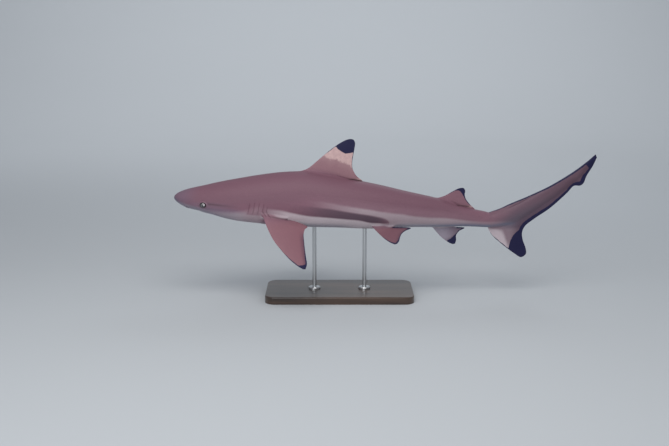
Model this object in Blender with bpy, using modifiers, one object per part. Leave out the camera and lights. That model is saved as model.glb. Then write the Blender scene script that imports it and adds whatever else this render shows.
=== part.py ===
"""Blacktip reef shark (Carcharhinus melanopterus), life size, swimming on a plain display stand.

The animal is laid out level, in percent of its total length, as fish are measured: "at" runs from the
snout tip towards the tail, "up" rises from the snout's height, and "out" is across, with the animal's
left side at negative Y. One empty then tips it nose-up and lifts it onto the stand.
"""

import math
from collections import namedtuple

import bmesh
import bpy
import numpy as np
from mathutils import Matrix, Vector

# ---------------------------------------------------------------- driving dimensions
TOTAL_LENGTH = 1.30  # snout tip to the tip of the tail, with the tail laid straight
PERCENT = TOTAL_LENGTH / 100
NOSE_UP = math.radians(4.0)
SNOUT_PLACE = Vector((-0.490, 0.0, 0.300))
GAP = 0.0003  # left between pieces that meet

TAIL_SWEEP = 4.0  # how far the tail would swing out, in percent, at the full length
SWEEP_START = 35.0
HEAD_TURN = 0.5
HEAD_TURN_END = 20.0

HEAD_END = 22.4  # just behind the last gill slit
TRUNK_END = 51.0  # at the vent
TAIL_END = 72.1  # where the caudal fin begins

SNOUT_START = 0.004  # where the first ring lies, in percent
HEAD_RINGS, TRUNK_RINGS, TAIL_RINGS, SEAT_RINGS = 22, 13, 10, 60
GIRTH_POINTS = 32
CAUDAL_GIRTH_POINTS = 20
FIN_ROWS = 11
FIN_CHORD_POINTS = 9
CUTTER_REACH = 8.0  # how far a cutter stands clear of the body, in percent
FIN_EDGE = 0.0011  # thickness of a fin's trailing edge

SKIN_BROWN = (0.235, 0.150, 0.160)
SKIN_PALE = (0.620, 0.580, 0.580)
FIN_BROWN = (0.260, 0.155, 0.155)
EYE_SILVER = (0.330, 0.320, 0.290)
WOOD_DARK = (0.040, 0.026, 0.020)
STEEL = (0.560, 0.570, 0.580)

# Girths along the body: height of the back and the belly, half the width, the height at which the body is
# widest, and how square the section is above and below that height (2 is an ellipse).
Girth = namedtuple("Girth", "at back belly half_width widest fullness_over fullness_under")
GIRTHS = [
    Girth(0.0, 0.00, 0.00, 0.00, 0.00, 2.0, 2.0),  # snout tip
    Girth(0.8, 1.07, -1.00, 1.55, -0.05, 2.0, 2.0),
    Girth(2.9, 2.10, -1.98, 2.90, -0.20, 2.0, 2.1),  # nostrils
    Girth(7.0, 3.35, -2.66, 4.00, -0.60, 2.0, 2.2),  # eyes
    Girth(10.3, 4.35, -3.45, 4.55, -0.50, 2.0, 2.3),  # corners of the mouth
    Girth(14.4, 5.42, -4.12, 5.00, 0.00, 2.0, 2.3),
    Girth(19.8, 6.70, -4.45, 5.30, 0.60, 2.0, 2.2),  # gills
    Girth(24.5, 7.60, -4.75, 5.50, 1.20, 1.9, 2.2),
    Girth(30.0, 8.05, -4.56, 5.60, 1.50, 1.9, 2.2),  # front of the first dorsal fin
    Girth(37.6, 7.28, -4.22, 5.35, 1.50, 1.9, 2.1),
    Girth(45.0, 6.38, -4.03, 4.60, 1.20, 1.9, 2.0),  # pelvic fins
    Girth(53.0, 5.06, -3.20, 3.55, 1.00, 1.9, 2.0),
    Girth(61.0, 3.70, -2.70, 2.55, 0.60, 2.0, 2.0),  # second dorsal and anal fins
    Girth(67.0, 2.15, -2.22, 1.90, 0.10, 2.0, 2.0),
    Girth(72.1, 1.38, -2.15, 1.50, -0.385, 2.0, 2.0),  # tail stalk
]

# Fin outlines, each as a leading edge from the fin's origin to its apex, and a trailing edge from its
# insertion, back to the free rear tip and up to the apex.
Fin = namedtuple("Fin", "lead trail root_thickness root_depth")
FIRST_DORSAL = Fin(
    lead=[(28.2, 8.0), (30.0, 8.85), (32.6, 11.3), (34.7, 13.3), (36.8, 15.05), (38.6, 16.05), (39.4, 16.15)],
    trail=[
        (38.6, 7.15), (42.45, 7.05), (41.2, 7.85), (40.3, 8.75), (39.85, 9.9), (39.8, 11.6),
        (40.05, 14.0), (40.1, 15.3), (39.8, 15.95),
    ],
    root_thickness=1.15,
    root_depth=1.6,
)
SECOND_DORSAL = Fin(
    lead=[(59.8, 3.9), (61.6, 4.65), (63.2, 5.7), (64.6, 6.5), (65.4, 6.68)],
    trail=[(64.2, 2.75), (68.5, 2.15), (67.4, 3.1), (66.4, 4.2), (66.05, 5.2), (66.1, 6.0), (65.8, 6.55)],
    root_thickness=0.60,
    root_depth=0.9,
)
ANAL = Fin(
    lead=[(59.3, -2.75), (60.4, -3.96), (61.4, -4.94), (62.9, -5.94), (63.8, -6.42), (64.5, -6.6)],
    trail=[(63.8, -2.55), (66.8, -2.78), (65.6, -3.5), (65.0, -4.5), (65.1, -5.6), (64.95, -6.4)],
    root_thickness=0.60,
    root_depth=0.8,
)
# For the paired fins the second number is the distance out along the fin from its root.
PECTORAL = Fin(
    lead=[(20.7, 0.0), (21.9, 3.0), (23.6, 6.4), (25.5, 8.9), (27.7, 11.25), (29.5, 12.6), (30.6, 13.1)],
    trail=[
        (25.8, 0.0), (30.8, 0.4), (30.3, 1.35), (30.1, 2.9), (30.3, 4.7), (30.6, 6.9),
        (31.0, 9.3), (31.35, 11.5), (31.15, 12.9),
    ],
    root_thickness=1.35,
    root_depth=1.8,
)
PELVIC = Fin(
    lead=[(45.5, 0.0), (46.4, 1.8), (48.2, 3.9), (49.5, 4.9), (50.5, 5.35)],
    trail=[(50.0, 0.0), (54.2, 0.35), (52.9, 1.2), (52.1, 2.1), (51.7, 3.2), (51.5, 4.3), (51.05, 5.15)],
    root_thickness=0.60,
    root_depth=1.0,
)
TIP_THICKNESS = 0.16  # at a fin's apex, for the root's
LEAD_CROWDING, TRAIL_CROWDING = 1.15, 0.65  # rings crowd towards the root, and past the free rear tip
PECTORAL_ROOT_LINE = ((20.7, 5.0, -1.9), (25.8, 5.05, -2.6))  # at, out, up of its two ends
PECTORAL_DROOP = {-1: math.radians(34.0), 1: math.radians(22.0)}  # the left fin is held lower than the right
PELVIC_ROOT_LINE = ((46.0, 2.9, -3.2), (50.4, 2.4, -2.9))
PELVIC_DROOP = math.radians(34.0)

# The caudal fin's upper margin, and its lower and rear margin from the lower lobe's front to the tip.
CAUDAL_UPPER = [
    (72.1, 1.38), (75.5, 3.2), (80.5, 5.45), (86.0, 8.5), (91.0, 12.05), (93.8, 14.5), (95.4, 16.1),
]
CAUDAL_UNDER = [
    (72.1, -2.15), (73.2, -3.95), (75.9, -6.15), (79.2, -8.2), (80.7, -8.85),  # lower lobe, to its tip
    (81.75, -8.0), (81.6, -6.8), (80.7, -4.85), (80.3, -3.0), (80.8, -1.45),  # its back, to the fork
    (82.9, 0.5), (86.2, 3.1), (89.8, 6.85), (91.2, 8.55),  # rear margin, to the notch
    (92.7, 8.7), (93.4, 9.3), (93.9, 11.0), (95.1, 13.4), (95.75, 15.4),  # terminal lobe
]
CAUDAL_ROWS = 22
ROD_DEPTH = 0.16  # the share of the caudal fin's height that its stiff rod takes
ROD_AT_STALK, ROD_AT_TIP = 0.72, 0.10  # the rod's half thickness, for the stalk's
STALK_FADE = 0.30  # the share of the fin's length over which its round root flattens
LOBE_CUT_FRONT = (72.1, -2.65)  # the line that parts the two lobes
LOBE_CUT_BACK = (84.0, 0.25)

EYE_AT, EYE_UP = 7.1, -0.57
EYE_RADII = (0.0102, 0.0080, 0.0088)
EYE_BULGE = 0.0030  # how far the ball stands out of the head

MOUTH_FRONT, MOUTH_CORNER = 6.3, 10.2
MOUTH_HALF_WIDTH = 3.55
MOUTH_ROOF = -1.35
JAW_BACK = 12.0
LIP_GAP = 0.0010
LIP_POINTS = 15
LIP_CURVE = 2.2  # how square the front of the mouth is

GILL_SLITS = [(17.3, 2.7), (18.4, 3.0), (19.45, 3.0), (20.45, 2.7), (21.35, 2.2)]  # place and height
GILL_LOWEST = -1.9
GILL_SLANT = 0.12  # how far a slit's top leans back, for its height
GILL_WIDTH, GILL_DEPTH, GILL_CLEAR = 0.0014, 0.004, 0.002

BASE_SIZE = Vector((0.44, 0.20, 0.022))
BASE_CORNER, BASE_EDGE = 0.030, 0.003
ROD_RADIUS = 0.006
ROD_PLACES = {"front": -0.075, "rear": 0.075}
COLLAR_RADIUS, COLLAR_HEIGHT = 0.018, 0.006


# ---------------------------------------------------------------- helpers
def clear_scene():
    for obj in list(bpy.data.objects):
        bpy.data.objects.remove(obj, do_unlink=True)


def new_collection(name):
    made = bpy.data.collections.new(name)
    bpy.context.scene.collection.children.link(made)
    return made


def material(name, colour, roughness, metallic=0.0):
    made = bpy.data.materials.new(name)
    made.use_nodes = True
    shader = made.node_tree.nodes["Principled BSDF"]
    shader.inputs["Base Color"].default_value = (*colour, 1.0)
    shader.inputs["Roughness"].default_value = roughness
    shader.inputs["Metallic"].default_value = metallic
    made.diffuse_color = (*colour, 1.0)
    return made


def through(points, where):
    """A smooth curve through the points, read at a share of its length, or at a list of shares."""
    points = np.array(points, float)
    steps = np.linalg.norm(np.diff(points, axis=0), axis=1) ** 0.5  # centripetal, so that it never loops
    knots = np.concatenate([[0], np.cumsum(steps)])
    fine = np.linspace(0, knots[-1], 40 * len(points))
    dense = np.stack([hermite(knots, column, fine) for column in points.T], axis=1)
    length = np.concatenate([[0], np.cumsum(np.linalg.norm(np.diff(dense, axis=0), axis=1))])
    shares = np.asarray(where) * length[-1]
    return np.stack([np.interp(shares, length, column) for column in dense.T], axis=-1)


def hermite(knots, values, where):
    """Cubic through the values, each with the slope of the parabola through it and its neighbours."""
    knots, values, where = (np.asarray(x, float) for x in (knots, values, where))
    slopes = np.gradient(values, knots, edge_order=1)
    i = np.clip(np.searchsorted(knots, where, side="right") - 1, 0, len(knots) - 2)
    span = knots[i + 1] - knots[i]
    t = (where - knots[i]) / span
    return (
        (1 + 2 * t) * (1 - t) ** 2 * values[i]
        + t * (1 - t) ** 2 * span * slopes[i]
        + t * t * (3 - 2 * t) * values[i + 1]
        + t * t * (t - 1) * span * slopes[i + 1]
    )


def sweep(at):
    """How far the midline lies to the right, in percent: the tail swings out and the head turns a little."""
    tail = np.clip((at - SWEEP_START) / (100 - SWEEP_START), 0, None)
    head = np.clip((HEAD_TURN_END - at) / HEAD_TURN_END, 0, None)
    return TAIL_SWEEP * tail**2 + HEAD_TURN * head**2


def level(points):
    """(at, out, up) in percent, as metres in the shark's own level frame, with the sweep of the tail."""
    points = np.array(points, float)
    points[..., 1] += sweep(points[..., 0])
    return points * PERCENT


def mesh_object(name, points, faces, home, skin=None):
    mesh = bpy.data.meshes.new(name)
    mesh.from_pydata([tuple(p) for p in points], [], faces)
    work = bmesh.new()
    work.from_mesh(mesh)
    bmesh.ops.recalc_face_normals(work, faces=work.faces)
    work.to_mesh(mesh)
    work.free()
    return object_of(name, mesh, home, skin)


def object_of(name, mesh, home, skin=None):
    obj = bpy.data.objects.new(name, mesh)
    home.objects.link(obj)
    if skin:
        mesh.materials.append(skin)
        mesh.shade_smooth()
        mesh.set_sharp_from_angle(angle=math.radians(40))
    else:
        obj.hide_render = True
        obj.display_type = "WIRE"
    return obj


def loft(rings):
    """Points and faces of a closed solid through rings that have the same number of points."""
    count = len(rings[0])
    points = np.concatenate(rings)
    faces = []
    for r in range(len(rings) - 1):
        for i in range(count):
            j = (i + 1) % count
            faces.append((r * count + i, r * count + j, (r + 1) * count + j, (r + 1) * count + i))
    faces.append(tuple(range(count)))
    faces.append(tuple(range(len(points) - count, len(points))))
    return points, faces


def boolean(obj, cutter, operation="DIFFERENCE"):
    made = obj.modifiers.new(f"{operation} {cutter.name}", "BOOLEAN")
    made.operation = operation
    made.object = cutter
    made.solver = "EXACT"


# ---------------------------------------------------------------- body
def girth_at(at):
    """The girth at any place, from splines that start steeply, so that the snout is round."""
    places = np.sqrt([g.at for g in GIRTHS])
    values = [hermite(places, [g[i] for g in GIRTHS], math.sqrt(at)) for i in range(1, len(Girth._fields))]
    return Girth(at, *map(float, values))


def girth_points(at, angles, grow=0.0):
    """Points (at, out, up) round the body, with angle 0 on its right side and 90 degrees on its back."""
    g = girth_at(at)
    cos, sin = np.cos(angles), np.sin(angles)
    over = sin > 0
    power = 2 / np.where(over, g.fullness_over, g.fullness_under)
    height = np.where(over, g.back - g.widest, g.widest - g.belly) + grow / PERCENT
    out = (g.half_width + grow / PERCENT) * np.sign(cos) * np.abs(cos) ** power
    up = g.widest + height * np.sign(sin) * np.abs(sin) ** power
    return np.stack([np.full(len(angles), at), out, up], axis=1)


def body_length(start, end, count, grow=0.0):
    """A length of the body as points and faces. Rings crowd together towards the snout."""
    around = np.linspace(0, 2 * math.pi, GIRTH_POINTS, endpoint=False)
    places = np.linspace(math.sqrt(start), math.sqrt(end), count) ** 2
    return loft([level(girth_points(at, around, grow)) for at in places])


def gill_cutter(home):
    """All ten gill slits as thin curved slabs that follow the head's side."""
    points, faces = [], []
    for side in (-1, 1):
        for at, height in GILL_SLITS:
            g = girth_at(at)
            rows = []
            for share in np.linspace(0, 1, 5):
                up = GILL_LOWEST + height * share
                reach = g.back - g.widest if up > g.widest else g.widest - g.belly
                angle = math.asin((up - g.widest) / reach)
                angle = angle if side > 0 else math.pi - angle
                place = at + GILL_SLANT * height * share
                corners = []
                for along, grow in ((-1, -1), (-1, 1), (1, 1), (1, -1)):
                    depth = GILL_CLEAR if grow > 0 else -GILL_DEPTH
                    corner = girth_points(place, np.array([angle]), depth)[0]
                    corner[0] += along * GILL_WIDTH / 2 / PERCENT
                    corners.append(corner)
                rows.append(level(corners))
            slab_points, slab_faces = loft(rows)
            faces += [tuple(i + len(points) for i in face) for face in slab_faces]
            points += list(slab_points)
    return mesh_object("cut_gill_slits", points, faces, home)


def mouth_prism(name, home, shrink=0.0):
    """The space of the lower jaw: a round-fronted prism under the head."""
    half, front = MOUTH_HALF_WIDTH - shrink / PERCENT, MOUTH_FRONT + shrink / PERCENT
    across = np.linspace(-1, 1, LIP_POINTS)
    front_line = [(front + (MOUTH_CORNER - MOUTH_FRONT) * abs(s) ** LIP_CURVE, half * s) for s in across]
    back = JAW_BACK - GAP / PERCENT * (shrink > 0)
    outline = front_line + [(back, half), (back, -half)]
    roof = MOUTH_ROOF - GAP / PERCENT * (shrink > 0)
    rings = [level([(at, out, up) for at, out in outline]) for up in (-CUTTER_REACH, roof)]
    return mesh_object(name, *loft(rings), home)


def eye_mesh(name, side, grow, home, skin=None):
    g = girth_at(EYE_AT)
    reach = g.widest - g.belly
    out = g.half_width * (1 - ((g.widest - EYE_UP) / reach) ** 2) ** 0.5
    centre = level((EYE_AT, side * out, EYE_UP)) - Vector((0, side * (EYE_RADII[1] - EYE_BULGE), 0))
    mesh = bpy.data.meshes.new(name)
    work = bmesh.new()
    bmesh.ops.create_uvsphere(work, u_segments=16, v_segments=10, radius=1.0)
    turn = Matrix.Rotation(math.radians(90), 4, "X")
    size = Matrix.Diagonal((*(r + grow for r in EYE_RADII), 1.0))
    bmesh.ops.transform(work, matrix=Matrix.Translation(centre) @ size @ turn, verts=work.verts)
    work.to_mesh(mesh)
    work.free()
    return object_of(name, mesh, home, skin)


def make_body(parts, cutters, brown, pale, silver):
    """Head, lower jaw, trunk and tail, as lengths of one body, and the two eyes."""
    half = GAP / 2 / PERCENT
    head = mesh_object("head", *body_length(SNOUT_START, HEAD_END - half, HEAD_RINGS), parts, brown)
    jaw = mesh_object("lower_jaw", *body_length(SNOUT_START, HEAD_END - half, HEAD_RINGS), parts, pale)
    trunk = mesh_object("trunk", *body_length(HEAD_END + half, TRUNK_END - half, TRUNK_RINGS), parts, brown)
    tail = mesh_object("tail", *body_length(TRUNK_END + half, TAIL_END - half, TAIL_RINGS), parts, brown)
    boolean(head, mouth_prism("cut_mouth", cutters))
    boolean(jaw, mouth_prism("keep_jaw", cutters, LIP_GAP), "INTERSECT")
    boolean(head, gill_cutter(cutters))
    made = [head, jaw, trunk, tail]
    for side, word in ((-1, "left"), (1, "right")):
        boolean(head, eye_mesh(f"cut_socket_{word}", side, GAP, cutters))
        made.append(eye_mesh(f"eye_{word}", side, 0.0, parts, silver))
    return made


# ---------------------------------------------------------------- fins
def wing_section(share):
    """Half the thickness across a fin's chord: a round front, thickest at 30 percent, a fine rear edge."""
    c = np.asarray(share, float)
    shape = 0.2969 * np.sqrt(c) - 0.1260 * c - 0.3516 * c**2 + 0.2843 * c**3 - 0.1015 * c**4
    return 10 * shape / 2


def fin_rows(fin, place):
    """Rings along a fin. place(along, out, thick) gives a point's (at, out, up) in the level frame."""
    chord = (1 - np.cos(np.linspace(0, math.pi, FIN_CHORD_POINTS))) / 2
    shares = np.linspace(0, 1, FIN_ROWS) ** LEAD_CROWDING
    leads = through(fin.lead, shares)
    trails = through(fin.trail, shares**TRAIL_CROWDING)
    rings = []
    for share, lead, trail in zip(shares, leads, trails):
        thick = fin.root_thickness * (TIP_THICKNESS + (1 - TIP_THICKNESS) * (1 - share) ** 1.3) / 2
        edge = FIN_EDGE / 2 / PERCENT
        half = np.maximum(thick * wing_section(chord), edge * np.minimum(1, chord * 12))
        line = lead + np.outer(chord, trail - lead)
        near = [place(p[0], p[1], h) for p, h in zip(line, half)]
        far = [place(p[0], p[1], -h) for p, h in zip(line, half)]
        rings.append(level(near + far[:0:-1]))
    root = rings[0].copy()
    sink = place(0, -fin.root_depth, 0) - place(0, 0, 0)
    return [root + sink * PERCENT, *rings]


def upright(direction):
    """Places a fin on the midline; its root sinks down for +1, and up for -1."""

    def place(along, out, thick):
        if out <= 0 and along == 0:
            return np.array((0.0, 0.0, direction * out))
        return np.array((along, thick, out))

    return place


def paired(root_line, droop, side):
    """Places a fin that leaves the body sideways, drooping from the level."""
    (front, front_out, front_up), (back, back_out, back_up) = root_line

    def place(along, out, thick):
        share = (along - front) / (back - front)
        base_out = front_out + (back_out - front_out) * min(share, 1.0)
        base_up = front_up + (back_up - front_up) * share
        across = base_out + out * math.cos(droop) + thick * math.sin(droop)
        up = base_up - out * math.sin(droop) + thick * math.cos(droop)
        return np.array((along, side * across, up))

    return place


def make_fin(name, fin, place, seat, parts, skin):
    obj = mesh_object(name, *loft(fin_rows(fin, place)), parts, skin)
    boolean(obj, seat)
    return obj


def caudal_rings():
    """Sections of the caudal fin, from the round tail stalk to its tip, each from the upper margin down."""
    shares = np.linspace(0, 1, CAUDAL_ROWS) ** 1.1
    uppers = through(CAUDAL_UPPER, shares)
    unders = through(CAUDAL_UNDER, shares**0.62)
    angles = np.linspace(0, 2 * math.pi, CAUDAL_GIRTH_POINTS, endpoint=False) + math.pi / 2
    down, side = (1 - np.sin(angles)) / 2, np.cos(angles)
    side[np.abs(side) < 1e-9] = 0
    rings = []
    for share, upper, under in zip(shares, uppers, unders):
        half = caudal_half_thickness(down, share)
        line = upper + np.outer(down, under - upper)
        rings.append(level(np.stack([line[:, 0], np.sign(side) * half, line[:, 1]], axis=1)))
    rings[0][:, 0] += GAP / 2
    return rings


def caudal_half_thickness(down, share):
    """Round at the stalk, then a fleshy rod under the upper margin that thins to a blade behind it."""
    stalk = GIRTHS[-1].half_width
    round_section = 2 * np.sqrt(np.clip(down * (1 - down), 0, None))
    blade = np.clip(down / ROD_DEPTH, 0, 1) ** 0.5 * np.clip((1 - down) / (1 - ROD_DEPTH), 0, 1) ** 1.6
    fade = max(0.0, 1 - share / STALK_FADE) ** 2
    rod = stalk * (ROD_AT_TIP + (ROD_AT_STALK - ROD_AT_TIP) * (1 - share) ** 2.2)
    edge = FIN_EDGE / 2 / PERCENT * (1 - fade)
    half = fade * stalk * round_section + (1 - fade) * rod * blade
    return np.maximum(half, edge * np.minimum(1, 20 * down * (1 - down)))


def lobe_box(name, home, below, shrink):
    """A box whose one face lies on the line between the two lobes, on either side of it."""
    front, back = np.array(LOBE_CUT_FRONT), np.array(LOBE_CUT_BACK)
    along = (back - front) / np.linalg.norm(back - front)
    normal = np.array((-along[1], along[0])) * (-1 if below else 1)
    start = front - CUTTER_REACH * along + normal * shrink / PERCENT
    end = back + along + normal * shrink / PERCENT
    outline = [start, end, end + 2 * CUTTER_REACH * normal, start + 2 * CUTTER_REACH * normal]
    rings = [[(p[0], out, p[1]) for p in outline] for out in (-CUTTER_REACH, CUTTER_REACH)]
    return mesh_object(name, *loft([np.array(r) * PERCENT for r in rings]), home)


def make_fins(parts, cutters, brown, pale):
    seat = mesh_object("cut_fin_seat", *body_length(SNOUT_START, TAIL_END + 1.0, SEAT_RINGS, GAP), cutters)
    made = [
        make_fin("first_dorsal_fin", FIRST_DORSAL, upright(1), seat, parts, brown),
        make_fin("second_dorsal_fin", SECOND_DORSAL, upright(1), seat, parts, brown),
        make_fin("anal_fin", ANAL, upright(-1), seat, parts, pale),
    ]
    for side, word in ((-1, "left"), (1, "right")):
        pectoral = paired(PECTORAL_ROOT_LINE, PECTORAL_DROOP[side], side)
        pelvic = paired(PELVIC_ROOT_LINE, PELVIC_DROOP, side)
        made.append(make_fin(f"pectoral_fin_{word}", PECTORAL, pectoral, seat, parts, brown))
        made.append(make_fin(f"pelvic_fin_{word}", PELVIC, pelvic, seat, parts, brown))
    for name, below in (("caudal_upper_lobe", False), ("caudal_lower_lobe", True)):
        lobe = mesh_object(name, *loft(caudal_rings()), parts, pale if below else brown)
        box = lobe_box(f"keep_{name}", cutters, True, GAP / 2 if below else -GAP / 2)
        boolean(lobe, box, "INTERSECT" if below else "DIFFERENCE")
        made.append(lobe)
    return made


# ---------------------------------------------------------------- stand
def make_base(parts, wood):
    mesh = bpy.data.meshes.new("stand_base")
    work = bmesh.new()
    bmesh.ops.create_cube(work, size=1.0)
    place = Matrix.Translation((0, 0, BASE_SIZE.z / 2)) @ Matrix.Diagonal((*BASE_SIZE, 1.0))
    bmesh.ops.transform(work, matrix=place, verts=work.verts)
    upright_edges = [e for e in work.edges if abs(e.verts[0].co.z - e.verts[1].co.z) > BASE_SIZE.z / 2]
    bmesh.ops.bevel(work, geom=upright_edges, offset=BASE_CORNER, segments=6, affect="EDGES", profile=0.5)
    rim = [e for e in work.edges if all(v.co.z > BASE_SIZE.z - 1e-6 for v in e.verts)]
    bmesh.ops.bevel(work, geom=rim, offset=BASE_EDGE, segments=2, affect="EDGES", profile=0.5)
    work.to_mesh(mesh)
    work.free()
    return object_of("stand_base", mesh, parts, wood)


def turned(name, profile, place, parts, skin):
    """A round piece, from a profile of (radius, height) that runs down its outer side."""
    mesh = bpy.data.meshes.new(name)
    edges = [(i, i + 1) for i in range(len(profile) - 1)]
    mesh.from_pydata([(r, 0, z) for r, z in profile], edges, [])
    obj = object_of(name, mesh, parts, skin)
    obj.location = place
    screw = obj.modifiers.new("turn", "SCREW")
    screw.steps = screw.render_steps = 20
    screw.use_merge_vertices = True
    screw.merge_threshold = 0.0001
    return obj


def belly_height(x):
    """World height of the belly's midline over a place on the base, and its distance across."""
    tip = Matrix.Rotation(NOSE_UP, 3, "Y")
    low, high = 10.0, 60.0
    for _ in range(40):
        at = (low + high) / 2
        point = SNOUT_PLACE + tip @ Vector(level((at, 0.0, girth_at(at).belly)))
        low, high = (at, high) if point.x < x else (low, at)
    return point


def make_stand(parts, seat, wood, steel):
    make_base(parts, wood)
    floor = BASE_SIZE.z + GAP
    for word, x in ROD_PLACES.items():
        belly = belly_height(x)
        place = Vector((x, belly.y, 0))
        top = belly.z + 0.004
        rod = [(0, top), (ROD_RADIUS, top), (ROD_RADIUS, floor), (0, floor)]
        post = turned(f"stand_rod_{word}", rod, place, parts, steel)
        boolean(post, seat)
        inner, high = ROD_RADIUS + GAP, floor + COLLAR_HEIGHT
        collar = [
            (inner, high), (COLLAR_RADIUS - 0.002, high), (COLLAR_RADIUS, high - 0.002),
            (COLLAR_RADIUS, floor), (inner, floor), (inner, high),
        ]
        turned(f"stand_collar_{word}", collar, place, parts, steel)


def main():
    clear_scene()
    parts = new_collection("blacktip_reef_shark")
    cutters = new_collection("cutters")
    brown = material("skin_brown", SKIN_BROWN, 0.5)
    fin_brown = material("fin_brown", FIN_BROWN, 0.5)
    pale = material("skin_pale", SKIN_PALE, 0.5)
    silver = material("eye_silver", EYE_SILVER, 0.12)
    wood = material("dark_wood", WOOD_DARK, 0.35)
    steel = material("brushed_steel", STEEL, 0.3, 1.0)

    flesh = make_body(parts, cutters, brown, pale, silver)
    flesh += make_fins(parts, cutters, fin_brown, pale)

    pose = bpy.data.objects.new("shark_pose", None)
    parts.objects.link(pose)
    pose.location = SNOUT_PLACE
    pose.rotation_euler = (0, NOSE_UP, 0)
    for obj in flesh + list(cutters.objects):
        obj.parent = pose

    make_stand(parts, cutters.objects["cut_fin_seat"], wood, steel)


main()
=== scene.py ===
"""Blacktip reef shark, life size: its skin, eyes and stand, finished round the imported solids."""

import math
from collections import namedtuple

import bpy
import numpy as np
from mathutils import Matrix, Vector


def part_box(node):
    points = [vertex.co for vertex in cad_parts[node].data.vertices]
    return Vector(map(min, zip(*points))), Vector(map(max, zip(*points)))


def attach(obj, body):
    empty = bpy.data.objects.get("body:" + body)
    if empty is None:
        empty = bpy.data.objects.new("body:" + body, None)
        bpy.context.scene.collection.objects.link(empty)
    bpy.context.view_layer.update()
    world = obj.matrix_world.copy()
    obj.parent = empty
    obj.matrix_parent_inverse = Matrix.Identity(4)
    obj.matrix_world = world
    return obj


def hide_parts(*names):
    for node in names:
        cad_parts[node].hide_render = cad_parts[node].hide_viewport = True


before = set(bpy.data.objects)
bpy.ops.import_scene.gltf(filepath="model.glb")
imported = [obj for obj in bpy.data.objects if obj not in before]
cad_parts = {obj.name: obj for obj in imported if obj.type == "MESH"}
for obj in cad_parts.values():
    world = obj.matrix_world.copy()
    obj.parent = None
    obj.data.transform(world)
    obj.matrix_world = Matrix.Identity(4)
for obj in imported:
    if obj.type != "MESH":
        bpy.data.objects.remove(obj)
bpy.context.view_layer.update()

# ---------------------------------------------------------------- the room
# A pale studio floor of paper that curves up behind the model, so that it stands clear against one soft
# tone. The viewer stands three metres off, level with the shark's side and looking slightly down on it.

VIEW_TARGET = Vector((-0.015, 0.0, 0.223))
VIEW_DISTANCE = 3.0
VIEW_DOWN = math.radians(12.0)
VIEW_LENS = 54.3
SKY_COLOUR, SKY_STRENGTH = (0.86, 0.92, 1.0, 1), 0.42
FLOOR_FRONT, FLOOR_BACK, FLOOR_HALF = -9.0, 3.4, 12.0
WALL_HEIGHT, CURVE_RADIUS, CURVE_STEPS = 5.0, 2.8, 40
PAPER_DARK, PAPER_LIGHT = (0.47, 0.49, 0.51), (0.52, 0.54, 0.56)
SOFT_LIGHTS = (  # name, place, what it faces, width, height, power and colour
    ("key_light", (-0.15, -1.3, 2.3), (0.0, 0, 0.3), 2.4, 1.6, 37, (1.0, 0.985, 0.96)),
    ("fill_light", (-0.9, -2.9, 1.0), (0.0, 0, 0.25), 2.2, 1.4, 26, (0.94, 0.97, 1.0)),
    ("back_light", (0.9, 1.9, 1.9), (0, 0, 0.35), 1.6, 1.0, 9, (0.9, 0.95, 1.0)),
    ("wall_light", (0.0, 3.0, 2.9), (0, 5.2, 0.9), 6.0, 1.2, 78, (0.96, 0.98, 1.0)),
)


def put(name, data):
    """An object of that data, in the scene."""
    made = bpy.data.objects.new(name, data)
    bpy.context.scene.collection.objects.link(made)
    return made


def feed(made, inputs):
    """Sets a node's inputs, each to a value or to the output socket that feeds it."""
    for key, value in inputs.items():
        if isinstance(value, bpy.types.NodeSocket):
            made.id_data.links.new(value, made.inputs[key])
        else:
            made.inputs[key].default_value = value


def add(tree, kind, inputs, out, **settings):
    """Adds a shader node and gives back that output of it."""
    made = tree.nodes.new("ShaderNode" + kind)
    for key, value in settings.items():
        setattr(made, key, value)
    feed(made, inputs)
    return made.outputs[out]


def noise(tree, scale, detail, **more):
    return add(tree, "TexNoise", {"Scale": scale, "Detail": detail, **more}, "Fac")


def over(tree, under, colour, factor):
    """Lays a colour over what is there already. Each colour is three numbers or a socket."""
    both = {"A": under, "B": colour}
    both = {key: (*value, 1) if isinstance(value, tuple) else value for key, value in both.items()}
    return add(tree, "Mix", {"Factor": factor, **both}, "Result", data_type="RGBA")


def new_material(name, roughness, metallic=0.0):
    """A material with its tree and its Principled shader."""
    made = bpy.data.materials.new(name)
    made.use_nodes = True
    shader = made.node_tree.nodes["Principled BSDF"]
    feed(shader, {"Roughness": roughness, "Metallic": metallic})
    return made, made.node_tree, shader


eye_line = Vector((0, math.cos(VIEW_DOWN), -math.sin(VIEW_DOWN)))
camera = put("camera", bpy.data.cameras.new("camera"))
camera.data.lens = VIEW_LENS
camera.location = VIEW_TARGET - eye_line * VIEW_DISTANCE
camera.rotation_euler = eye_line.to_track_quat("-Z", "Y").to_euler()
bpy.context.scene.camera = camera
bpy.context.scene.view_settings.view_transform = "Standard"

for name, place, aim, width, height, power, colour in SOFT_LIGHTS:
    softbox = bpy.data.lights.new(name, "AREA")
    softbox.shape = "RECTANGLE"
    softbox.size, softbox.size_y = width, height
    softbox.energy = power
    softbox.color = colour
    hung = put(name, softbox)
    hung.location = place
    hung.rotation_euler = (Vector(aim) - Vector(place)).to_track_quat("-Z", "Y").to_euler()

world = bpy.data.worlds.new("studio")
bpy.context.scene.world = world
world.use_nodes = True
feed(world.node_tree.nodes["Background"], {"Color": SKY_COLOUR, "Strength": SKY_STRENGTH})

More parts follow.
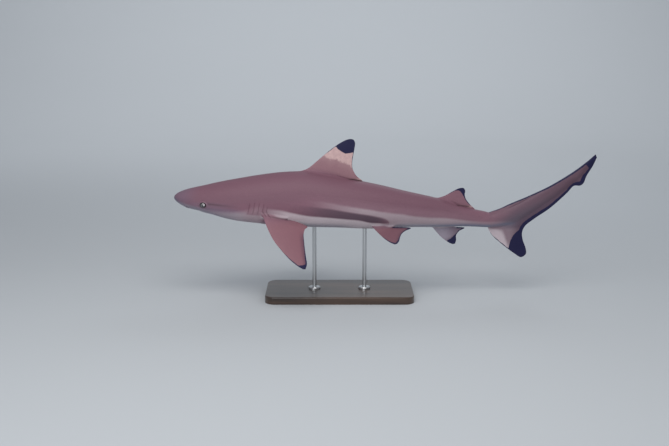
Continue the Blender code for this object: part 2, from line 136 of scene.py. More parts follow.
# The floor runs back, curves up with a wide radius and becomes the wall.
turns = np.linspace(0, math.pi / 2, CURVE_STEPS + 1)
curve = [(FLOOR_BACK + CURVE_RADIUS * math.sin(t), CURVE_RADIUS * (1 - math.cos(t))) for t in turns]
section = [(FLOOR_FRONT, 0.0), *curve, (FLOOR_BACK + CURVE_RADIUS, WALL_HEIGHT)]
floor_mesh = bpy.data.meshes.new("studio_floor")
floor_points = [(x, y, z) for x in (-FLOOR_HALF, FLOOR_HALF) for y, z in section]
wide = len(section)
floor_mesh.from_pydata(floor_points, [], [(i, i + wide, i + wide + 1, i + 1) for i in range(wide - 1)])
floor_mesh.shade_smooth()
studio_floor = put("studio_floor", floor_mesh)
floor_material, floor_tree, floor_shader = new_material("studio_paper", 0.9)
feed(floor_shader, {"Base Color": over(floor_tree, PAPER_DARK, PAPER_LIGHT, noise(floor_tree, 3.0, 6.0))})
floor_mesh.materials.append(floor_material)

# ---------------------------------------------------------------- the body's form
# One skin of painted resin covers the whole animal and follows the solids beneath it. Its body is drawn
# from girths along the length, and rests on the stand's rods.

# Places are level, in percent of the total length: "at" runs back from the snout tip, "out" is positive on
# the right side, and "up" rises from the snout's height.
PERCENT = 0.013  # a hundredth of the total length
MM = 0.001 / PERCENT  # a millimetre, in percent
NOSE_UP = math.radians(4.0)
SNOUT = np.array((-0.490, 0.0, 0.300))
STALK = 72.1  # where the caudal fin begins
TAIL_SWEEP, SWEEP_START = 4.0, 35.0
HEAD_TURN, HEAD_TURN_END = 0.5, 20.0
SIDE_VIEW = math.radians(12.0)  # how far down the side is looked at

# at, back, belly, half width, widest height, fullness above it and below it
GIRTHS = np.array([
    (0.0, 0.00, 0.00, 0.00, 0.00, 2.0, 2.0),
    (0.8, 1.07, -1.00, 1.55, -0.05, 2.0, 2.0),
    (2.9, 2.10, -1.98, 2.90, -0.20, 2.0, 2.1),
    (7.0, 3.35, -2.66, 4.00, -0.60, 2.0, 2.2),
    (10.3, 4.35, -3.45, 4.55, -0.50, 2.0, 2.3),
    (14.4, 5.42, -4.12, 5.00, 0.00, 2.0, 2.3),
    (19.8, 6.70, -4.45, 5.30, 0.60, 2.0, 2.2),
    (24.5, 7.60, -4.75, 5.50, 1.20, 1.9, 2.2),
    (30.0, 8.05, -4.56, 5.60, 1.50, 1.9, 2.2),
    (37.6, 7.28, -4.22, 5.35, 1.50, 1.9, 2.1),
    (45.0, 6.38, -4.03, 4.60, 1.20, 1.9, 2.0),
    (53.0, 5.06, -3.20, 3.55, 1.00, 1.9, 2.0),
    (61.0, 3.70, -2.70, 2.55, 0.60, 2.0, 2.0),
    (67.0, 2.15, -2.22, 1.90, 0.10, 2.0, 2.0),
    (72.1, 1.38, -2.15, 1.50, -0.385, 2.0, 2.0),
])

# Rings lie closest together where the head's small forms are, in millimetres.
RING_PLACES = (0.0, 3.0, 5.5, 11.0, 13.0, 16.5, 22.5, 24.0, STALK)
RING_STEPS = (0.35, 0.85, 0.70, 0.75, 1.2, 0.8, 0.8, 1.8, 2.3)
FIRST_RING = 0.004
COLUMNS = 384
EYE_CROWDING = 0.15  # draws the columns together along the sides, where the eyes are

# The pectoral fins' roots slope down to the rear, so the columns within reach are turned to run along them.
ROOT_SLOPE = math.radians(1.43)
ROOT_MIDDLE = 23.25
ROOT_ANGLE = math.radians(-30.6)
ROOT_TURN_REACH = math.radians(60.0)


def hermite(knots, values, where):
    """A cubic through the values, each with the slope of the parabola through it and its neighbours."""
    knots, values, where = (np.asarray(x, float) for x in (knots, values, where))
    slopes = np.gradient(values, knots, axis=0, edge_order=1)
    i = np.clip(np.searchsorted(knots, where, side="right") - 1, 0, len(knots) - 2)
    span = knots[i + 1] - knots[i]
    t = (where - knots[i]) / span
    if values.ndim > 1:
        t, span = t[..., None], span[..., None]
    start = (1 + 2 * t) * (1 - t) ** 2 * values[i] + t * (1 - t) ** 2 * span * slopes[i]
    return start + t * t * (3 - 2 * t) * values[i + 1] + t * t * (t - 1) * span * slopes[i + 1]


def through(points, where):
    """A smooth curve through the points, read at a list of shares of its length."""
    points = np.array(points, float)
    steps = np.linalg.norm(np.diff(points, axis=0), axis=1) ** 0.5
    knots = np.concatenate([[0], np.cumsum(steps)])
    dense = hermite(knots, points, np.linspace(0, knots[-1], 60 * len(points)))
    length = np.concatenate([[0], np.cumsum(np.linalg.norm(np.diff(dense, axis=0), axis=1))])
    return np.stack([np.interp(np.asarray(where) * length[-1], length, c) for c in dense.T], axis=-1)


def girth(at):
    """Back, belly, half width, widest height and the two fullnesses, each for every place asked for."""
    values = hermite(np.sqrt(GIRTHS[:, 0]), GIRTHS[:, 1:], np.sqrt(at))
    return np.moveaxis(values, -1, 0)


def body_surface(at, angle):
    """Points on the body. Angle 0 is its right side and 90 degrees its back."""
    back, belly, half_width, widest, above, below = girth(at)
    sin, cos = np.sin(angle), np.cos(angle)
    power = 2 / np.where(sin > 0, above, below)
    height = np.where(sin > 0, back - widest, widest - belly)
    out = half_width * np.sign(cos) * np.abs(cos) ** power
    return np.stack([at, out, widest + height * np.sign(sin) * np.abs(sin) ** power], axis=-1)


def rise(x, low, high):
    """0 below low, 1 above high and smooth between them. It falls instead where low is the larger."""
    t = np.clip((np.asarray(x, float) - low) / (high - low), 0, 1)
    return t * t * (3 - 2 * t)


def hump(x, centre, width):
    return np.exp(-(((x - centre) / width) ** 2))


def flank_height(out, up):
    """How high a point of the side looks to someone who sees it along the slope of the side view."""
    return up * math.cos(SIDE_VIEW) - np.abs(out) * math.sin(SIDE_VIEW)


def posed(points):
    """Level points, in percent, as the place in the room: tail swung out, nose tipped up, on its stand."""
    level = np.array(points, float)
    tail = np.clip((level[..., 0] - SWEEP_START) / (100 - SWEEP_START), 0, None)
    head = np.clip((HEAD_TURN_END - level[..., 0]) / HEAD_TURN_END, 0, None)
    level[..., 1] += TAIL_SWEEP * tail**2 + HEAD_TURN * head**2
    x, y, z = np.moveaxis(level * PERCENT, -1, 0)
    cos, sin = math.cos(NOSE_UP), math.sin(NOSE_UP)
    return np.stack([x * cos + z * sin, y, z * cos - x * sin], axis=-1) + SNOUT


places = [FIRST_RING]
while places[-1] < STALK:
    places.append(places[-1] + np.interp(places[-1], RING_PLACES, RING_STEPS) * MM)
rings = np.array(places) * STALK / places[-1]
even = np.arange(COLUMNS) / COLUMNS * 2 * math.pi - math.pi / 2
columns = even - EYE_CROWDING * np.sin(2 * even)

ring_at, angle = np.meshgrid(rings, columns, indexing="ij")
turn = ROOT_SLOPE * (ring_at - ROOT_MIDDLE) * (rise(ring_at, 14.5, 19.5) * rise(ring_at, 33.0, 27.5))
for root_angle, sense in ((ROOT_ANGLE, -1), (math.pi - ROOT_ANGLE, 1)):
    away = np.angle(np.exp(1j * (angle - root_angle))) / ROOT_TURN_REACH
    angle = angle + sense * turn * np.cos(np.clip(away, -1, 1) * math.pi / 2) ** 2
body = body_surface(ring_at, angle)

# ---------------------------------------------------------------- the caudal fin
# A stiff rod under the upper margin carries a long upper lobe with a notch near its tip, and a short lower
# lobe. It is cast in one with the tail stalk, so its rows go on where the body's rings end.

CAUDAL_ROWS = 180
ROW_CROWDING, UNDER_CROWDING = 1.65, 1.023  # draw the rows together near the stalk, above and below
FIN_EDGE = 0.55 * MM  # half the thickness of a trailing edge
CAUDAL_UPPER = [
    (72.1, 1.38), (73.6, 1.98), (75.0, 2.62), (76.5, 3.48), (80.5, 5.45), (86.0, 8.5), (91.0, 12.05),
    (93.8, 14.5), (95.4, 16.1),
]
CAUDAL_UNDER = [
    (72.1, -2.15), (73.25, -3.86), (75.9, -5.98), (79.2, -8.15), (80.7, -8.85),  # lower lobe, to its tip
    (81.75, -8.0), (81.6, -6.8), (80.7, -4.85), (80.3, -3.0), (80.8, -1.45),  # its back, to the fork
    (82.9, 0.5), (86.2, 3.1), (89.8, 6.85), (91.2, 8.55),  # rear margin, to the notch
    (92.7, 8.7), (93.4, 9.3), (93.9, 11.0), (95.1, 13.4), (95.75, 15.4),  # terminal lobe
]
# The stalk runs on as a round rod: at, its middle, half its height and width, and half the blade's thickness.
ROD = [
    (72.1, -0.385, 1.765, 1.50, 0.80), (73.2, -0.30, 1.78, 1.42, 0.76), (74.5, 0.05, 1.78, 1.27, 0.70),
    (76.0, 0.75, 1.72, 1.10, 0.62), (78.0, 1.85, 1.62, 0.92, 0.54), (81.0, 3.75, 1.45, 0.74, 0.44),
    (86.0, 7.25, 1.25, 0.52, 0.30), (91.0, 11.0, 1.05, 0.34, 0.20), (95.8, 15.6, 0.60, 0.18, 0.12),
]
ROD_JOIN = 2.0  # how roundly the rod and the blade run together
BLADE_ONSET = 0.02  # the share of the fin over which the blade grows from the stalk's last ring


def soft_line(points, where, column=1):
    """A smooth line through the points, read at each place. It goes on level beyond its ends."""
    values = np.array(points).T
    return hermite(values[0], values[column], np.clip(where, values[0][0], values[0][-1]))


steps = np.linspace(0, 1, CAUDAL_ROWS + 1)[1:, None]
share = steps**ROW_CROWDING
down = (1 - np.sin(columns)) / 2
upper = through(CAUDAL_UPPER, share[:, 0])
under = through(CAUDAL_UNDER, steps[:, 0] ** UNDER_CROWDING)
plane = upper[:, None] + down[None, :, None] * (under - upper)[:, None]
rod_middle, rod_tall, rod_half, blade_half = (soft_line(ROD, plane[..., 0], i) for i in (1, 2, 3, 4))
above_middle = plane[..., 1] - rod_middle
slope_off = np.where(above_middle < 0, rise(plane[..., 0], 73.0, 80.0), 0.0)  # it thins out gently downwards
rod = np.clip(1 - (above_middle / (rod_tall * (1 + slope_off))) ** 2, 0, 1)
rod = rod_half * rod ** (0.5 + 0.6 * slope_off)
onset = 1 - np.exp(-share / BLADE_ONSET)
blade = blade_half * np.clip((1 - down) / 0.84, 0, 1) ** 1.3 * np.clip(down / 0.05, 0, 1) ** 0.5
half = (rod**ROD_JOIN + (onset * blade) ** ROD_JOIN) ** (1 / ROD_JOIN)
half = np.maximum(half, FIN_EDGE * onset * np.minimum(1, np.sqrt(40 * down * (1 - down))))
caudal = np.stack([plane[..., 0], np.sign(np.cos(columns)) * half, plane[..., 1]], axis=-1)
grid = np.concatenate([body, caudal])
BODY_RINGS = len(body)

# ---------------------------------------------------------------- the head's small forms
# Modelled in the skin: sockets with a thick rim for the eyes, slanted nostrils with a small flap, a mouth
# that is a deep curve under the head, and five gill slits above the front of each pectoral fin.

# Places are in percent, and the rises and depths of the skin in millimetres.
EYE_AT, EYE_UP = 7.1, -0.57
LID_LONG, LID_TALL = 0.71, 0.58  # half the opening between the lids
RIM_PLACE, RIM_WIDTH, RIM_RISE = 1.14, 0.13, 0.9
SOCKET_DEPTH, HOLLOW_DEPTH, LOWER_LID_DEPTH, EYE_FOLD_DEPTH = 9.5, 0.55, 0.35, 0.2
MOUTH_FRONT, MOUTH_CORNER, MOUTH_HALF_WIDTH, MOUTH_CURVE = 6.3, 10.2, 3.55, 2.2
LIP_RISE, LIP_GROOVE, JAW_DEPTH = 1.1, 3.6, 0.9
FURROW_DEPTH, FURROW_HALF_LENGTH = 1.4, 4.0
NOSTRIL_AT, NOSTRIL_OUT = 3.35, 2.05
NOSTRIL_LONG, NOSTRIL_WIDE, NOSTRIL_DEPTH, FLAP_RISE = 7.0, 2.3, 4.2, 2.6
SLANT_SINE, SLANT_COSINE = 0.50, 0.866  # of the 30 degrees that a nostril slants
GILL_SLITS = [(17.3, 2.7), (18.4, 3.0), (19.45, 3.0), (20.45, 2.7), (21.35, 2.2)]  # place and height
GILL_LOWEST, GILL_SLANT = -1.9, 0.12
GILL_SWELL, GILL_POCKET = 0.5, 1.3
VENT_AT, VENT_LONG, VENT_WIDE, VENT_DEPTH = 51.6, 0.9, 0.13, 2.6
STALK_DENT, FLANK_LINE_DEPTH = 0.9, 0.22


def outward(points):
    """The surface's outward direction at every point of the closed grid."""
    around = np.roll(points, -1, 1) - np.roll(points, 1, 1)
    normal = np.cross(around, np.gradient(points, axis=0))
    return normal / np.maximum(np.linalg.norm(normal, axis=-1, keepdims=True), 1e-12)


def distance(points, run, batch=4000):
    """How far each point lies from the nearest point of a run."""
    flat = points.reshape(-1, points.shape[-1])
    parts = (flat[first : first + batch, None] - run for first in range(0, len(flat), batch))
    return np.concatenate([np.sqrt((part**2).sum(-1).min(1)) for part in parts]).reshape(points.shape[:-1])


def lip_place(across):
    """Where the mouth's line is, at a share of its half width from the middle."""
    return MOUTH_FRONT + (MOUTH_CORNER - MOUTH_FRONT) * np.abs(across) ** MOUTH_CURVE


def under_up(at, out):
    """The height of the body's underside at that distance from its middle."""
    _, belly, half_width, widest, _, below = girth(np.asarray(at, float))
    return widest - (widest - belly) * np.clip(1 - np.abs(out / half_width) ** below, 0, 1) ** (1 / below)


at, out, up = np.moveaxis(body, -1, 0)
back, _, _, widest, _, _ = girth(at)
beneath, top = up < widest, np.sin(angle)

# "relief" is how far the skin stands out, and a crease shade is painted shade in a fold, 1 at its deepest.

# Eyes: a raised rim round a socket that goes in behind the ball, and a shallow hollow beyond the rim, with
# painted shade inside the rim and along the lower lid.
lid = np.hypot((at - EYE_AT) / LID_LONG, (up - EYE_UP) / LID_TALL)
lower_lid = hump(lid, 1.36, 0.07) * rise(EYE_UP - up, -0.1, 0.4)
relief = RIM_RISE * hump(lid, RIM_PLACE, RIM_WIDTH) * (lid > 1) - HOLLOW_DEPTH * hump(lid, 1.62, 0.22)
relief -= LOWER_LID_DEPTH * lower_lid
rim_height = RIM_RISE * hump(1.0, RIM_PLACE, RIM_WIDTH)
relief = np.where(lid < 1, rim_height - SOCKET_DEPTH * rise(lid, 1.0, 0.80), relief)
crease_shades = [rise(lid, 1.12, 0.98), 0.30 * lower_lid]

# A fold runs back from behind each eye, with a band of painted shade along it.
fold = (flank_height(out, up) + 1.05 + 0.04 * (at - 8.0)) / MM
fold_run = rise(at, 7.9, 8.5) * rise(at, 16.5, 8.8)
relief -= EYE_FOLD_DEPTH * hump(fold, 0, 2.2) * fold_run
crease_shades.append(0.55 * hump(fold, 0, 3.3) * fold_run)

# Nostrils: on the underside, slanting in towards the mouth, with painted shade inside them.
near_x, near_y = (at - NOSTRIL_AT) / MM, (np.abs(out) - NOSTRIL_OUT) / MM
slit_long = near_x * SLANT_SINE - near_y * SLANT_COSINE
slit_wide = near_x * SLANT_COSINE + near_y * SLANT_SINE
slit = np.hypot(slit_long / NOSTRIL_LONG, slit_wide / NOSTRIL_WIDE)
flap = hump(np.hypot((slit_long - 0.5) / 2.4, (slit_wide + 1.2) / 2.2), 0, 0.8)
relief += beneath * (0.7 * hump(slit, 1.35, 0.3) - NOSTRIL_DEPTH * rise(slit, 1.05, 0.45) + FLAP_RISE * flap)
crease_shades.append(beneath * rise(slit, 1.0, 0.6) * (1 - 0.8 * flap))

# Mouth: a groove along its line, full lips beside it, and the lower jaw a little further in, with painted
# shade in the groove.
across = np.linspace(-1, 1, 361)
lip_at, lip_out = lip_place(across), MOUTH_HALF_WIDTH * across
lip_line = np.stack([lip_at, lip_out, under_up(lip_at, lip_out)], axis=-1)
lip = np.full(at.shape, 99.0)  # how far off it is, and far away to begin with
mouth_region = beneath & (at > 4.5) & (at < 13.0)
lip[mouth_region] = distance(body[mouth_region], lip_line) / MM
jaw = beneath & (at > lip_place(out / MOUTH_HALF_WIDTH)) & (np.abs(out) < MOUTH_HALF_WIDTH)
relief += LIP_RISE * hump(lip, 2.9, 1.5) - LIP_GROOVE * rise(lip, 1.9, 0.2)
relief -= jaw * JAW_DEPTH * rise(at, MOUTH_CORNER + 2.0, MOUTH_CORNER - 0.5) * rise(lip, 0.5, 2.5)
crease_shades.append(rise(lip, 1.8, 0.4))

# A short furrow runs on from each corner of the mouth, with painted shade in it.
near_x, near_y = (at - MOUTH_CORNER - 0.15) / MM, (np.abs(out) - MOUTH_HALF_WIDTH - 0.05) / MM
furrow = np.hypot(np.maximum(np.abs(near_x) - FURROW_HALF_LENGTH, 0), near_y + 0.35 * near_x)
relief -= beneath * FURROW_DEPTH * rise(furrow, 1.6, 0.3) * rise(lip, 0.3, 1.5)
crease_shades.append(beneath * 0.6 * rise(furrow, 1.2, 0.3))

# Gills: each slit is the rear edge of a flap that swells and then drops into a pocket. A thin line of painted
# shade lies in each slit.
for slit_at, slit_height in GILL_SLITS:
    share_up = (up - GILL_LOWEST) / slit_height
    behind = (at - slit_at - GILL_SLANT * (up - GILL_LOWEST) + 0.35 * (share_up - 0.5) ** 2) / MM
    ends = rise(share_up, -0.06, 0.16) * rise(share_up, 1.06, 0.84)
    swell = GILL_SWELL * rise(behind, -9.0, -0.8) * rise(behind, 0.5, -0.3)
    pocket = GILL_POCKET * rise(behind, -0.4, 0.5) * rise(behind, 4.0, 0.8)
    relief += ends * (swell - pocket)
    crease_shades.append(0.17 * ends * rise(behind, -0.4, 0.2) * rise(behind, 1.6, 0.7))

# Body: a dent over the tail stalk, a faint line along each flank, and the vent, with painted shade in the
# vent.
relief -= STALK_DENT * hump(at, STALK - 0.35, 0.5) * rise(top, 0.75, 0.97)
lateral = (up - widest - 0.33 * (back - widest)) / MM
relief -= FLANK_LINE_DEPTH * hump(lateral, 0, 1.3) * rise(at, 12.0, 24.0)
vent = np.hypot((at - VENT_AT) / VENT_LONG, out / VENT_WIDE)
relief -= VENT_DEPTH * (top < 0) * rise(vent, 1.3, 0.3)
crease_shades.append((top < 0) * 0.8 * rise(vent, 1.0, 0.4))

skin_out = outward(body)
skin_out[lid < 1.3] = np.stack([0 * out, np.sign(out), 0 * out], axis=-1)[lid < 1.3]
grid[:BODY_RINGS] = body + skin_out * (relief * MM)[..., None]
# Painted shade in the folds, slits and hollows, kept on the skin.
crease = np.concatenate([np.maximum.reduce(crease_shades), np.zeros((CAUDAL_ROWS, COLUMNS))])

# ---------------------------------------------------------------- the markings
# Painted on: rosy brown above and white below. A brown tongue reaches back between the white belly and a
# pale wedge on each flank. Every fin is edged or tipped with black, and the first dorsal has a white band
# under its black.

# Each marking is kept on the skin as a distance in percent, positive inside the marking.
BELLY_LINE = [
    (0.0, -0.9), (3.9, -1.60), (6.2, -2.10), (8.5, -2.50), (11.0, -2.62), (13.2, -2.60), (15.4, -2.42),
    (16.6, -2.25), (17.6, -1.80), (18.7, -1.30), (19.7, -1.05), (20.6, -1.00), (21.5, -1.15), (22.4, -1.25),
    (24.3, -1.38), (25.6, -1.55), (27.0, -1.80), (28.4, -1.95), (31.2, -2.18), (33.9, -2.22), (35.7, -2.27),
    (39.2, -2.36), (42.6, -2.43), (44.9, -2.75), (46.7, -2.71), (48.1, -2.73), (49.2, -2.58), (50.6, -2.36),
    (56.0, -2.40), (61.0, -2.35), (67.0, -2.15), (72.1, -1.80),
]
BELLY_SOFTNESS = [
    (0, 0.5), (8, 0.5), (15, 0.6), (18, 0.9), (20.5, 0.8), (22.5, 0.45), (27, 0.35), (32, 0.25), (47, 0.2),
    (52, 0.5), (72, 0.5),
]
# The white is weaker under the head and along the tail stalk, as painted shade where the underside turns
# from the light. It is mottled over the gills and full behind them, and it stops just above each pectoral
# fin's root.
BELLY_STRENGTH = [
    (0, 0.30), (7, 0.44), (11, 0.49), (13, 0.56), (15, 0.61), (16.5, 0.52), (18, 0.46), (19.4, 0.48),
    (20.6, 0.24), (21.4, 0.20), (22.4, 0.34), (24.2, 0.58), (26.5, 0.97), (30, 1.0), (47.2, 1.0),
    (49.0, 0.55), (51.0, 0.6), (53.0, 0.9), (64, 0.66), (72, 0.5),
]
SHOULDER_LINE = [(20.4, -3.2), (22.4, -2.75), (24.3, -2.65), (26.6, -3.25), (28.8, -3.95), (30.5, -4.4)]
# Painted shade: the lower edge of the side turns away from the light, and is painted a dusky blue-grey along
# the whole body.
UNDERSIDE_SHADE_STRENGTH = [
    (0, 0.45), (9, 0.52), (12.5, 0.40), (16.5, 0.22), (19.5, 0.12), (23, 0.4), (30, 0.6), (38, 0.55),
    (42, 0.15), (46.5, 0.15), (49, 0.7), (52, 0.8), (72, 1.0),
]
WEDGE_TOP = [
    (28.0, 1.30), (32.1, 1.16), (35.5, 1.02), (38.0, 0.67), (40.3, 0.48), (42.6, 0.29), (44.9, 0.09),
    (46.7, -0.12), (49.0, -0.27), (51.3, -0.38), (55.2, -0.69), (58.2, -0.76), (61.0, -0.66), (64.5, -0.75),
    (67.9, -0.97), (72.1, -0.95), (74.0, -0.75), (78.0, -0.30),
]
WEDGE_STRENGTH = [
    (30, 0.0), (31.5, 0.04), (33.4, 0.16), (35.7, 0.32), (38, 0.52), (40.3, 0.72), (42.6, 0.95), (46, 1.0),
    (60, 1.0), (66, 0.85), (71, 0.45), (75, 0.3), (78, 0.0),
]
TONGUE_TOP = [
    (24.0, 0.60), (30.0, 0.00), (33.3, -0.22), (35.6, -0.32), (39.1, -0.69), (42.5, -0.97), (44.9, -1.17),
    (46.4, -1.38), (47.4, -1.52), (48.2, -1.72), (48.8, -2.02), (49.3, -2.55),
]
TONGUE_END = 49.3
TONGUE_STRENGTH = [
    (25, 0.0), (30, 0.22), (34, 0.65), (38, 0.9), (44, 1.0), (46.4, 0.95), (47.5, 0.72), (48.4, 0.38),
    (49.2, 0.0),
]
# Darker along the back: the shark's own countershading, made darker still as painted shade against the
# brighter light on top.
BACK_STRENGTH = [
    (0, 0.5), (8, 0.75), (26, 0.78), (32, 0.8), (50, 0.85), (60, 0.9), (68, 0.5), (STALK, 0.0),
]
BACK_LOWEST = [(0, -0.25), (24, -0.25), (30, -0.1), (STALK, -0.1)]
# A painted shadow line under each dorsal fin's free rear tip, where the tip lies along the back: four points
# on its line, its depth (how dark it is), and how far it takes to begin.
TIP_SHADOW_LINES = (
    ((38.9, 6.86), (39.8, 6.83), (41.0, 6.77), (42.3, 6.60), 1.05, 1.2),
    ((64.2, 2.50), (65.2, 2.46), (66.4, 2.42), (67.4, 2.36), 0.85, 0.6),
)
OUTSIDE = -9.0  # far outside a marking


def line(points, where):
    x, y = np.array(points).T
    return np.interp(where, x, y)


def outline(points, count=300):
    """Points that lie close together along a fin's edge."""
    return through(points, np.linspace(0, 1, count))


def tip_shadow_lines(at, out, up):
    """How dark the painted shadow line under a free rear tip is at each point."""
    found = 0 * at
    for *points, depth, begin in TIP_SHADOW_LINES:
        first, last = points[0][0], points[-1][0]
        run = rise(at, first - 0.2, first + begin) * rise(at, last + 0.3, last - 0.2)
        found = np.maximum(found, depth * hump(flank_height(out, up) - line(points, at), 0, 0.15) * run)
    return found


at, out, up = np.moveaxis(grid, -1, 0)
flank = flank_height(out, up)
tongue_top, belly_line = soft_line(TONGUE_TOP, at), soft_line(BELLY_LINE, at)
back, belly, half_width, widest, _, _ = girth(np.minimum(at, STALK))
marks = {name: np.zeros(at.shape) for name in ("margin", "fin", "ray", "ruddy", "grey")}
for name in ("black", "band", "cream"):
    marks[name] = np.full(at.shape, OUTSIDE)
marks["crease"] = np.maximum(crease, tip_shadow_lines(at, out, up) * (at < STALK))
marks["pores"] = rise(at, 9.5, 6.0)
marks["tail"] = rise(at, 70.0, 79.0)

shoulder_up = line(SHOULDER_LINE, at) - flank
shoulder = rise(at, 20.0, 21.4) * rise(at, 30.8, 29.0)
shoulder *= rise(shoulder_up, -0.2, 0.25) * rise(shoulder_up, 1.6, 0.9)
over_gills = rise(at, 16.4, 17.6) * rise(at, 21.8, 20.8) * rise(flank, -3.0, -2.6)
marks["belly"] = belly_line - flank
marks["belly_soft"] = line(BELLY_SOFTNESS, at)
marks["belly_depth"] = line(BELLY_STRENGTH, at) * (1 - shoulder) * (1 - 0.62 * over_gills)

half_height = (widest - belly) * math.cos(SIDE_VIEW)
lowest = widest * math.cos(SIDE_VIEW) - np.hypot(half_height, half_width * math.sin(SIDE_VIEW))
# Painted shade along the lower edge of the side, and under the head.
lower_edge_shade = line(UNDERSIDE_SHADE_STRENGTH, at) * rise(flank - lowest, 1.05, 0.05)
lower_edge_shade = np.maximum(lower_edge_shade, 0.22 * rise(at, 18.0, 14.0) * rise(flank, -1.5, -2.3))
snout_grey = np.maximum(0.5 * rise(at, 6.5, 1.5), 0.36 * rise(at, 17.0, 9.0) * rise(flank, -0.3, -1.3))
# Beneath, between the two lower edges, the belly is clean and white from the jaw to the tail, with no painted
# shade.
clean = (up < widest) * rise(np.abs(out) / half_width, 0.52, 0.18)
marks["underside"] = lower_edge_shade * (1 - clean)
marks["snout"] = snout_grey * (1 - clean * rise(at, 0.5, 2.0))
marks["belly_depth"] = np.maximum(marks["belly_depth"], 0.9 * clean * rise(at, 0.8, 3.0))

wedge_low = np.where(at < TONGUE_END, flank - tongue_top, -OUTSIDE)
marks["wedge"] = np.minimum(soft_line(WEDGE_TOP, at) - flank, wedge_low)
marks["wedge_depth"] = line(WEDGE_STRENGTH, at)
marks["stripe"] = np.where(at < TONGUE_END, np.minimum(tongue_top - flank, flank - belly_line), OUTSIDE)
marks["stripe_depth"] = line(TONGUE_STRENGTH, at)
back_low = line(BACK_LOWEST, at)
marks["back"] = line(BACK_STRENGTH, at) * rise((up - widest) / (back - widest), back_low, back_low + 0.5)

# Caudal fin: black along both margins, over the tip of each lobe, and a white front to the lower lobe.
BLACK_STARTS = [
    (-9.0, 77.4), (-6.6, 77.5), (-5.1, 77.7), (-4.2, 78.0), (-3.2, 78.6), (-2.3, 79.5), (-0.5, 81.7),
]
REAR_BAND = [(79.0, 0.9), (82.0, 0.82), (86.0, 0.68), (90.5, 0.58), (92.7, 1.0), (93.8, 0.6), (96.0, 0.5)]
TOP_BAND = [(73.0, 0.06), (77.0, 0.17), (84.0, 0.24), (90.0, 0.30), (96.0, 0.42)]
FRONT_BAND = [(-8.5, 0.20), (-6.0, 0.20), (-4.5, 0.12), (-3.0, 0.05)]
LOBE_WHITE = [
    (72.1, -1.80), (72.7, -2.30), (73.6, -2.36), (74.7, -2.42), (75.3, -2.65), (75.9, -3.4), (76.4, -4.35),
    (77.2, -6.1),
]
LOBE_SOFTNESS = [(72.1, 0.45), (74.0, 0.5), (75.2, 0.95), (77.5, 1.2)]
TAIL_FOLD_SHADE_LINE = [(72.1, -1.95), (73.6, -1.63), (76.3, -1.14), (77.7, -0.95), (80.0, -0.5)]

tail_plane = grid[BODY_RINGS:][..., [0, 2]]
tail_at, tail_up = np.moveaxis(tail_plane, -1, 0)
tail_flank = flank[BODY_RINGS:]
tail = {name: values[BODY_RINGS:] for name, values in marks.items()}
tail_outline = outline(CAUDAL_UNDER, 500)
lobe_end = np.argmin(tail_outline[:, 1]) + 1
from_rear = distance(tail_plane, tail_outline[lobe_end:])
from_top = distance(tail_plane, outline(CAUDAL_UPPER))
tail["black"][:] = np.maximum.reduce([
    np.where(tail_up < -0.6, tail_at - line(BLACK_STARTS, tail_up), OUTSIDE),  # the lower lobe's tip
    line(REAR_BAND, tail_at) - from_rear,
    line(TOP_BAND, tail_at) - from_top,
    line(FRONT_BAND, tail_up) - distance(tail_plane, tail_outline[:lobe_end]),
    (tail_at + tail_up - 107.1) * 0.7,  # the upper lobe's tip
])
tail["belly"][:] = line(LOBE_WHITE, tail_at) - tail_flank
tail["belly_soft"][:] = line(LOBE_SOFTNESS, tail_at)
# On the tail the white stays weak near the stalk, as painted shade, and is strong on the lower lobe.
tail["belly_depth"][:] = np.maximum(0.5 * rise(tail_at, 75.5, STALK), 0.86 * rise(tail_up, -1.9, -2.9))
lobe_grey = 0.34 * rise(tail_flank, -1.5, -2.6) * rise(tail_at, 82.0, 79.0)
tail["wedge_depth"][:] = np.maximum(tail["wedge_depth"], lobe_grey)
# Painted shade along the fold between the stalk and the lower lobe, and the body's lower-edge shade fading
# out behind the stalk.
fold_run = rise(tail_at, 79.5, 76.0) * rise(tail_at, STALK, 73.0)
tail_fold_shade = 0.55 * hump(tail_flank, line(TAIL_FOLD_SHADE_LINE, tail_at), 0.40) * fold_run
tail["underside"][:] = np.maximum(tail["underside"] * rise(tail_at, 73.6, STALK), tail_fold_shade)
lobe_pale = 1 - 0.8 * rise(tail_up, -1.0, -3.5)
tail["grey"][:] = rise(from_top, 1.0, 4.2) * rise(tail_at, STALK, 77.0) * lobe_pale
tail["margin"][:] = np.maximum(rise(from_rear, 3.2, 0.9), 0.55 * rise(from_top, 2.0, 0.1))
tail["fin"][:] = 0.35 * rise(steps, 0.0, 0.5)
tail["ray"][:] = share * 40

# ---------------------------------------------------------------- the fins
# Seven fins are cast on the body, each with a thick root, a round leading edge, and a thin trailing edge
# with a free rear tip. Each opens a patch of the body's grid and rises from its rim in a smooth fillet.

# For each: its two outlines, how thick it is at the root, how dark the painted shade in the fold round the
# root is, how far the body's white reaches up it, half the width of its patch, how far that goes beyond the
# root, and its loops.
Fin = namedtuple("Fin", "lead trail thickness root_crease root_white spread margins rows")
FIRST_DORSAL = Fin(
    [(28.2, 8.0), (30.0, 8.85), (32.6, 11.3), (34.7, 13.3), (36.8, 15.05), (38.6, 16.05), (39.4, 16.15)],
    [
        (38.6, 6.80), (42.50, 6.66), (41.2, 7.72), (40.4, 8.75), (39.95, 9.9), (39.9, 11.6), (40.15, 14.0),
        (40.2, 15.35), (39.85, 16.0),
    ],
    1.15, 0.30, 1.0, 1.15, (1.1, 0.85), 96,
)
SECOND_DORSAL = Fin(
    [(59.8, 3.9), (61.6, 4.65), (63.2, 5.7), (64.6, 6.5), (65.4, 6.68)],
    [(64.2, 2.62), (68.7, 1.84), (67.5, 2.9), (66.4, 4.2), (66.05, 5.2), (66.1, 6.0), (65.8, 6.55)],
    0.60, 0.12, 1.0, 0.72, (0.8, 0.7), 60,
)
